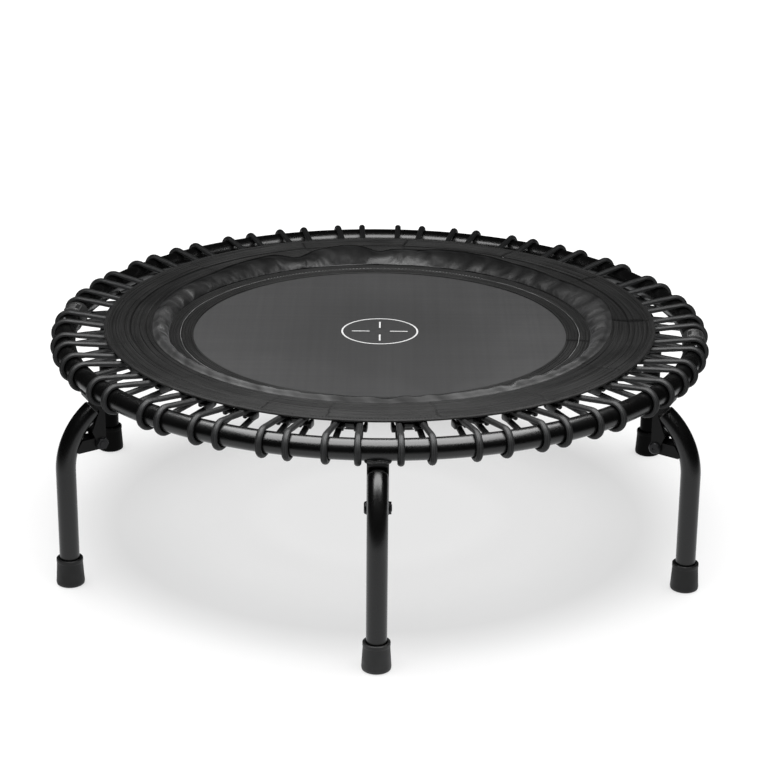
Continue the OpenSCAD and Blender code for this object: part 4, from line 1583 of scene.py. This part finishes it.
def connector(k):
    """Stacked half moons, a tongue, a plate with wings, ears beside the strands, and a bar."""
    tongue = [(398, -6.6), (405.4, -6.6), (405.4, 6.6), (398, 6.6)]
    parts = [slab(saddle(10.2, 395), 315.0, 327.6, 0.9),
             slab(saddle(10.2, 390.5), 303.0, 315.5, 0.6),
             slab(saddle(13.0, 389), 302.4, 304.2, 0.7),
             slab(saddle(13.2, 395), 326.4, 328.4, 0.8),
             slab(tongue, 312.4, 318.6, 1.0, "connector_tongue")]
    a = math.asin(16.2 / 17)
    plate = [(TURN_AT + 17 * math.cos(t), 17 * math.sin(t)) for t in np.linspace(a, FULL - a, 30)]
    plate += [(403.1, -24.4), (416.4, -24.4), (416.4, -7.4), (404.4, -6.4), (404.4, 6.4),
              (416.4, 7.4), (416.4, 24.4), (403.1, 24.4)]
    parts.append(slab(plate, 313.9, 316.9, 0.8))
    # ear outline (x, z); the inner pair sits 1.5 nearer the centre
    ear = rounded([(403.4, 309.9), (416.2, 309.9), (418.5, 312.2), (418.5, 318.6),
                   (416.2, 320.9), (403.4, 320.9), (401.1, 318.6), (401.1, 312.2)], 1.5, seg=3)
    parts += [slab(ear, y, y + 5.3, 1.5, upright=True) for y in (-26.2, 20.9)]
    inner_ear = [(x - 1.5, z) for x, z in ear]
    parts += [slab(inner_ear, y, y + 3.8, 1.2, upright=True) for y in (-11.0, 7.2)]
    loop = rounded([(368.7, -11.6), (391, -9.0), (391, 9.0), (368.7, 11.6)], [2.6, 1, 1, 2.6],
                   seg=6)
    path = np.array([(x, y, BAR_Z) for x, y in poly_refine(loop, step=2.0)])
    th = around(16)
    c, s = np.cos(th), np.sin(th)
    section = np.stack([2.3 * np.sign(c) * np.abs(c) ** 0.6,
                        1.5 * np.sign(s) * np.abs(s) ** 0.6], -1)
    parts.append(sweep("part", path, np.tile([0, 0, 1.0], (len(path), 1)), section,
                       "connector_plastic", loop=True))
    ob = join("connector_%02d" % k, parts)
    place(ob, cord_az(k))
    on_mat(ob, "cord_connectors", crease=45, weight=dip_as_one(TURN_AT))


def strap(k):
    """Webbing from the hem, round the connector's bar and back."""
    points = [(344, JUMP_Z - 2.4), (362, JUMP_Z - 2.45), (366.5, JUMP_Z - 2.2), (369.5, 312.6)]
    points += [(369.1 + 3.4 * math.cos(a), BAR_Z + 3.3 * math.sin(a))
               for a in np.linspace(-95, 95, 9) * DEG]
    points += [(366.5, JUMP_Z + 3.2), (362, JUMP_Z + 3.0), (344, JUMP_Z + 2.7)]
    path = np.array([(x, 0, z) for x, z in points])
    half_w, half_t = 11.4, 0.6
    section = rounded([(-half_w, -half_t), (half_w, -half_t), (half_w, half_t),
                       (-half_w, half_t)], 0.45, seg=3)
    ob = sweep("connector_strap_%02d" % k, path, np.cross([0, 1.0, 0], tangents(path)),
               section, "webbing")
    place(ob, cord_az(k))
    on_mat(ob, "connector_straps", crease=50, weight=dip_as_one(360))


for k in range(CORDS):
    connector(k)
    strap(k)


# ------------------------------------------------------------------ stage, light and camera
# Glow of the floor, with a painted shadow that dips under and around the trampoline: distance
# from the origin (m), brightness.
FLOOR_GLOW = (
    (0.0, 0.757), (0.175, 0.75), (0.225, 0.706), (0.275, 0.688), (0.325, 0.64), (0.375, 0.57),
    (0.425, 0.50), (0.475, 0.55), (0.525, 0.63), (0.575, 0.655), (0.65, 0.67), (1.0, 0.72),
    (1.5, 0.84), (2.2, 1.0), (4.0, 1.0))


def floor_material():
    """A glowing floor; glossy surfaces see it bright near the object and dark far off."""
    m = Material("stage_floor")
    position = m.node("ShaderNodeNewGeometry").outputs["Position"]
    rays = m.node("ShaderNodeLightPath").outputs
    far = m.node("ShaderNodeVectorMath", {0: position}, operation="LENGTH").outputs["Value"]
    reach = FLOOR_GLOW[-1][0]
    # painted shadow: the glow dips under and around the trampoline
    glow = m.ramp(m.remap(far, old=(0.0, reach), new=(0.0, 1.0)),
                  [(dist / reach, value) for dist, value in FLOOR_GLOW])
    glow = m.mul(glow, m.remap(rays["Is Diffuse Ray"], old=(0, 1), new=(1.0, 0.42)))
    near = m.remap(far, old=(0.9, 1.7), new=(1.0, 0.02), smooth=True)
    shine = m.node("ShaderNodeEmission", {"Color": (1, 1, 1, 1), "Strength": glow})
    matt = m.node("ShaderNodeBsdfDiffuse", {"Color": grey(0.34)})
    seen = m.node("ShaderNodeAddShader", {0: shine.outputs[0], 1: matt.outputs[0]})
    reflected = m.node("ShaderNodeEmission",
                       {"Color": (0.98, 0.99, 1, 1), "Strength": m.mul(near, 0.95)})
    m.use_shader(m.node("ShaderNodeMixShader", {0: rays["Is Glossy Ray"], 1: seen.outputs[0],
                                                2: reflected.outputs[0]}).outputs[0])


def stage_floor():
    floor_material()
    n, radius = 96, 60000
    verts = [(0, 0, 0)] + [(radius * math.cos(a), radius * math.sin(a), 0) for a in around(n)]
    faces = [[0, 1 + i, 1 + (i + 1) % n] for i in range(n)]
    floor = make("stage_floor", verts, faces, "stage_floor", smooth=False)
    floor.location.z = -0.0002


def studio_world():
    """White for the camera, dim for diffuse light, almost black for reflections."""
    world = bpy.data.worlds.new("studio")
    bpy.context.scene.world = world
    world.use_nodes = True
    w = Nodes(world.node_tree)
    w.tree.nodes.clear()
    rays = w.node("ShaderNodeLightPath").outputs
    diffuse, glossy, backdrop = (
        w.node("ShaderNodeBackground", {"Color": (1, 1, 1, 1), "Strength": strength}).outputs[0]
        for strength in (0.3, 0.02, 1.0))
    light = w.node("ShaderNodeMixShader", {0: rays["Is Glossy Ray"], 1: diffuse, 2: glossy})
    mixed = w.node("ShaderNodeMixShader",
                   {0: rays["Is Camera Ray"], 1: light.outputs[0], 2: backdrop})
    w.node("ShaderNodeOutputWorld", {"Surface": mixed.outputs[0]})


def overhead_light():
    light = bpy.data.lights.new("overhead", "AREA")
    light.shape = "RECTANGLE"
    light.size, light.size_y = 4.2, 3.4
    radiance = 3.0
    light.energy = radiance * math.pi * light.size * light.size_y
    ob = bpy.data.objects.new("overhead", light)
    ob.location = (0, -0.35, 2.45)
    ob.visible_glossy = False
    bpy.context.scene.collection.objects.link(ob)


def highlight_box():
    """A low bright panel that only shows in glossy reflections."""
    m = Material("stage_box")
    m.use_shader(m.node("ShaderNodeEmission", {"Strength": 9.0}).outputs[0])
    verts = [(-540, -870, 0), (-540, 90, 0), (540, 90, 0), (540, -870, 0)]
    box = make("stage_box", verts, [[0, 1, 2, 3]], "stage_box", smooth=False)
    box.location.z = 0.94
    box.visible_camera = box.visible_diffuse = box.visible_shadow = False
    box.visible_transmission = box.visible_volume_scatter = False


def plain_view():
    view = bpy.context.scene.view_settings
    view.view_transform = "Standard"
    view.look = "None"
    view.exposure = 0
    view.gamma = 1


def add_camera():
    """Looks from the front towards +Y, pitched down and rolled a little."""
    camera = bpy.data.cameras.new("camera")
    camera.sensor_width = 36
    camera.lens = 108.79546875
    camera.clip_start, camera.clip_end = 0.05, 200
    pitch, roll = 20.82 * DEG, 0.494 * DEG
    right = Vector((1, 0, 0))
    up = Vector((0, math.sin(pitch), math.cos(pitch)))
    forward = Vector((0, math.cos(pitch), -math.sin(pitch)))
    matrix = Matrix((math.cos(roll) * right + math.sin(roll) * up,
                     -math.sin(roll) * right + math.cos(roll) * up,
                     -forward)).transposed().to_4x4()
    matrix.translation = Vector((0.007386, -3.45377, 1.53849))
    ob = bpy.data.objects.new("camera", camera)
    ob.matrix_world = matrix
    bpy.context.scene.collection.objects.link(ob)
    bpy.context.scene.camera = ob


stage_floor()
studio_world()
overhead_light()
highlight_box()
plain_view()
add_camera()
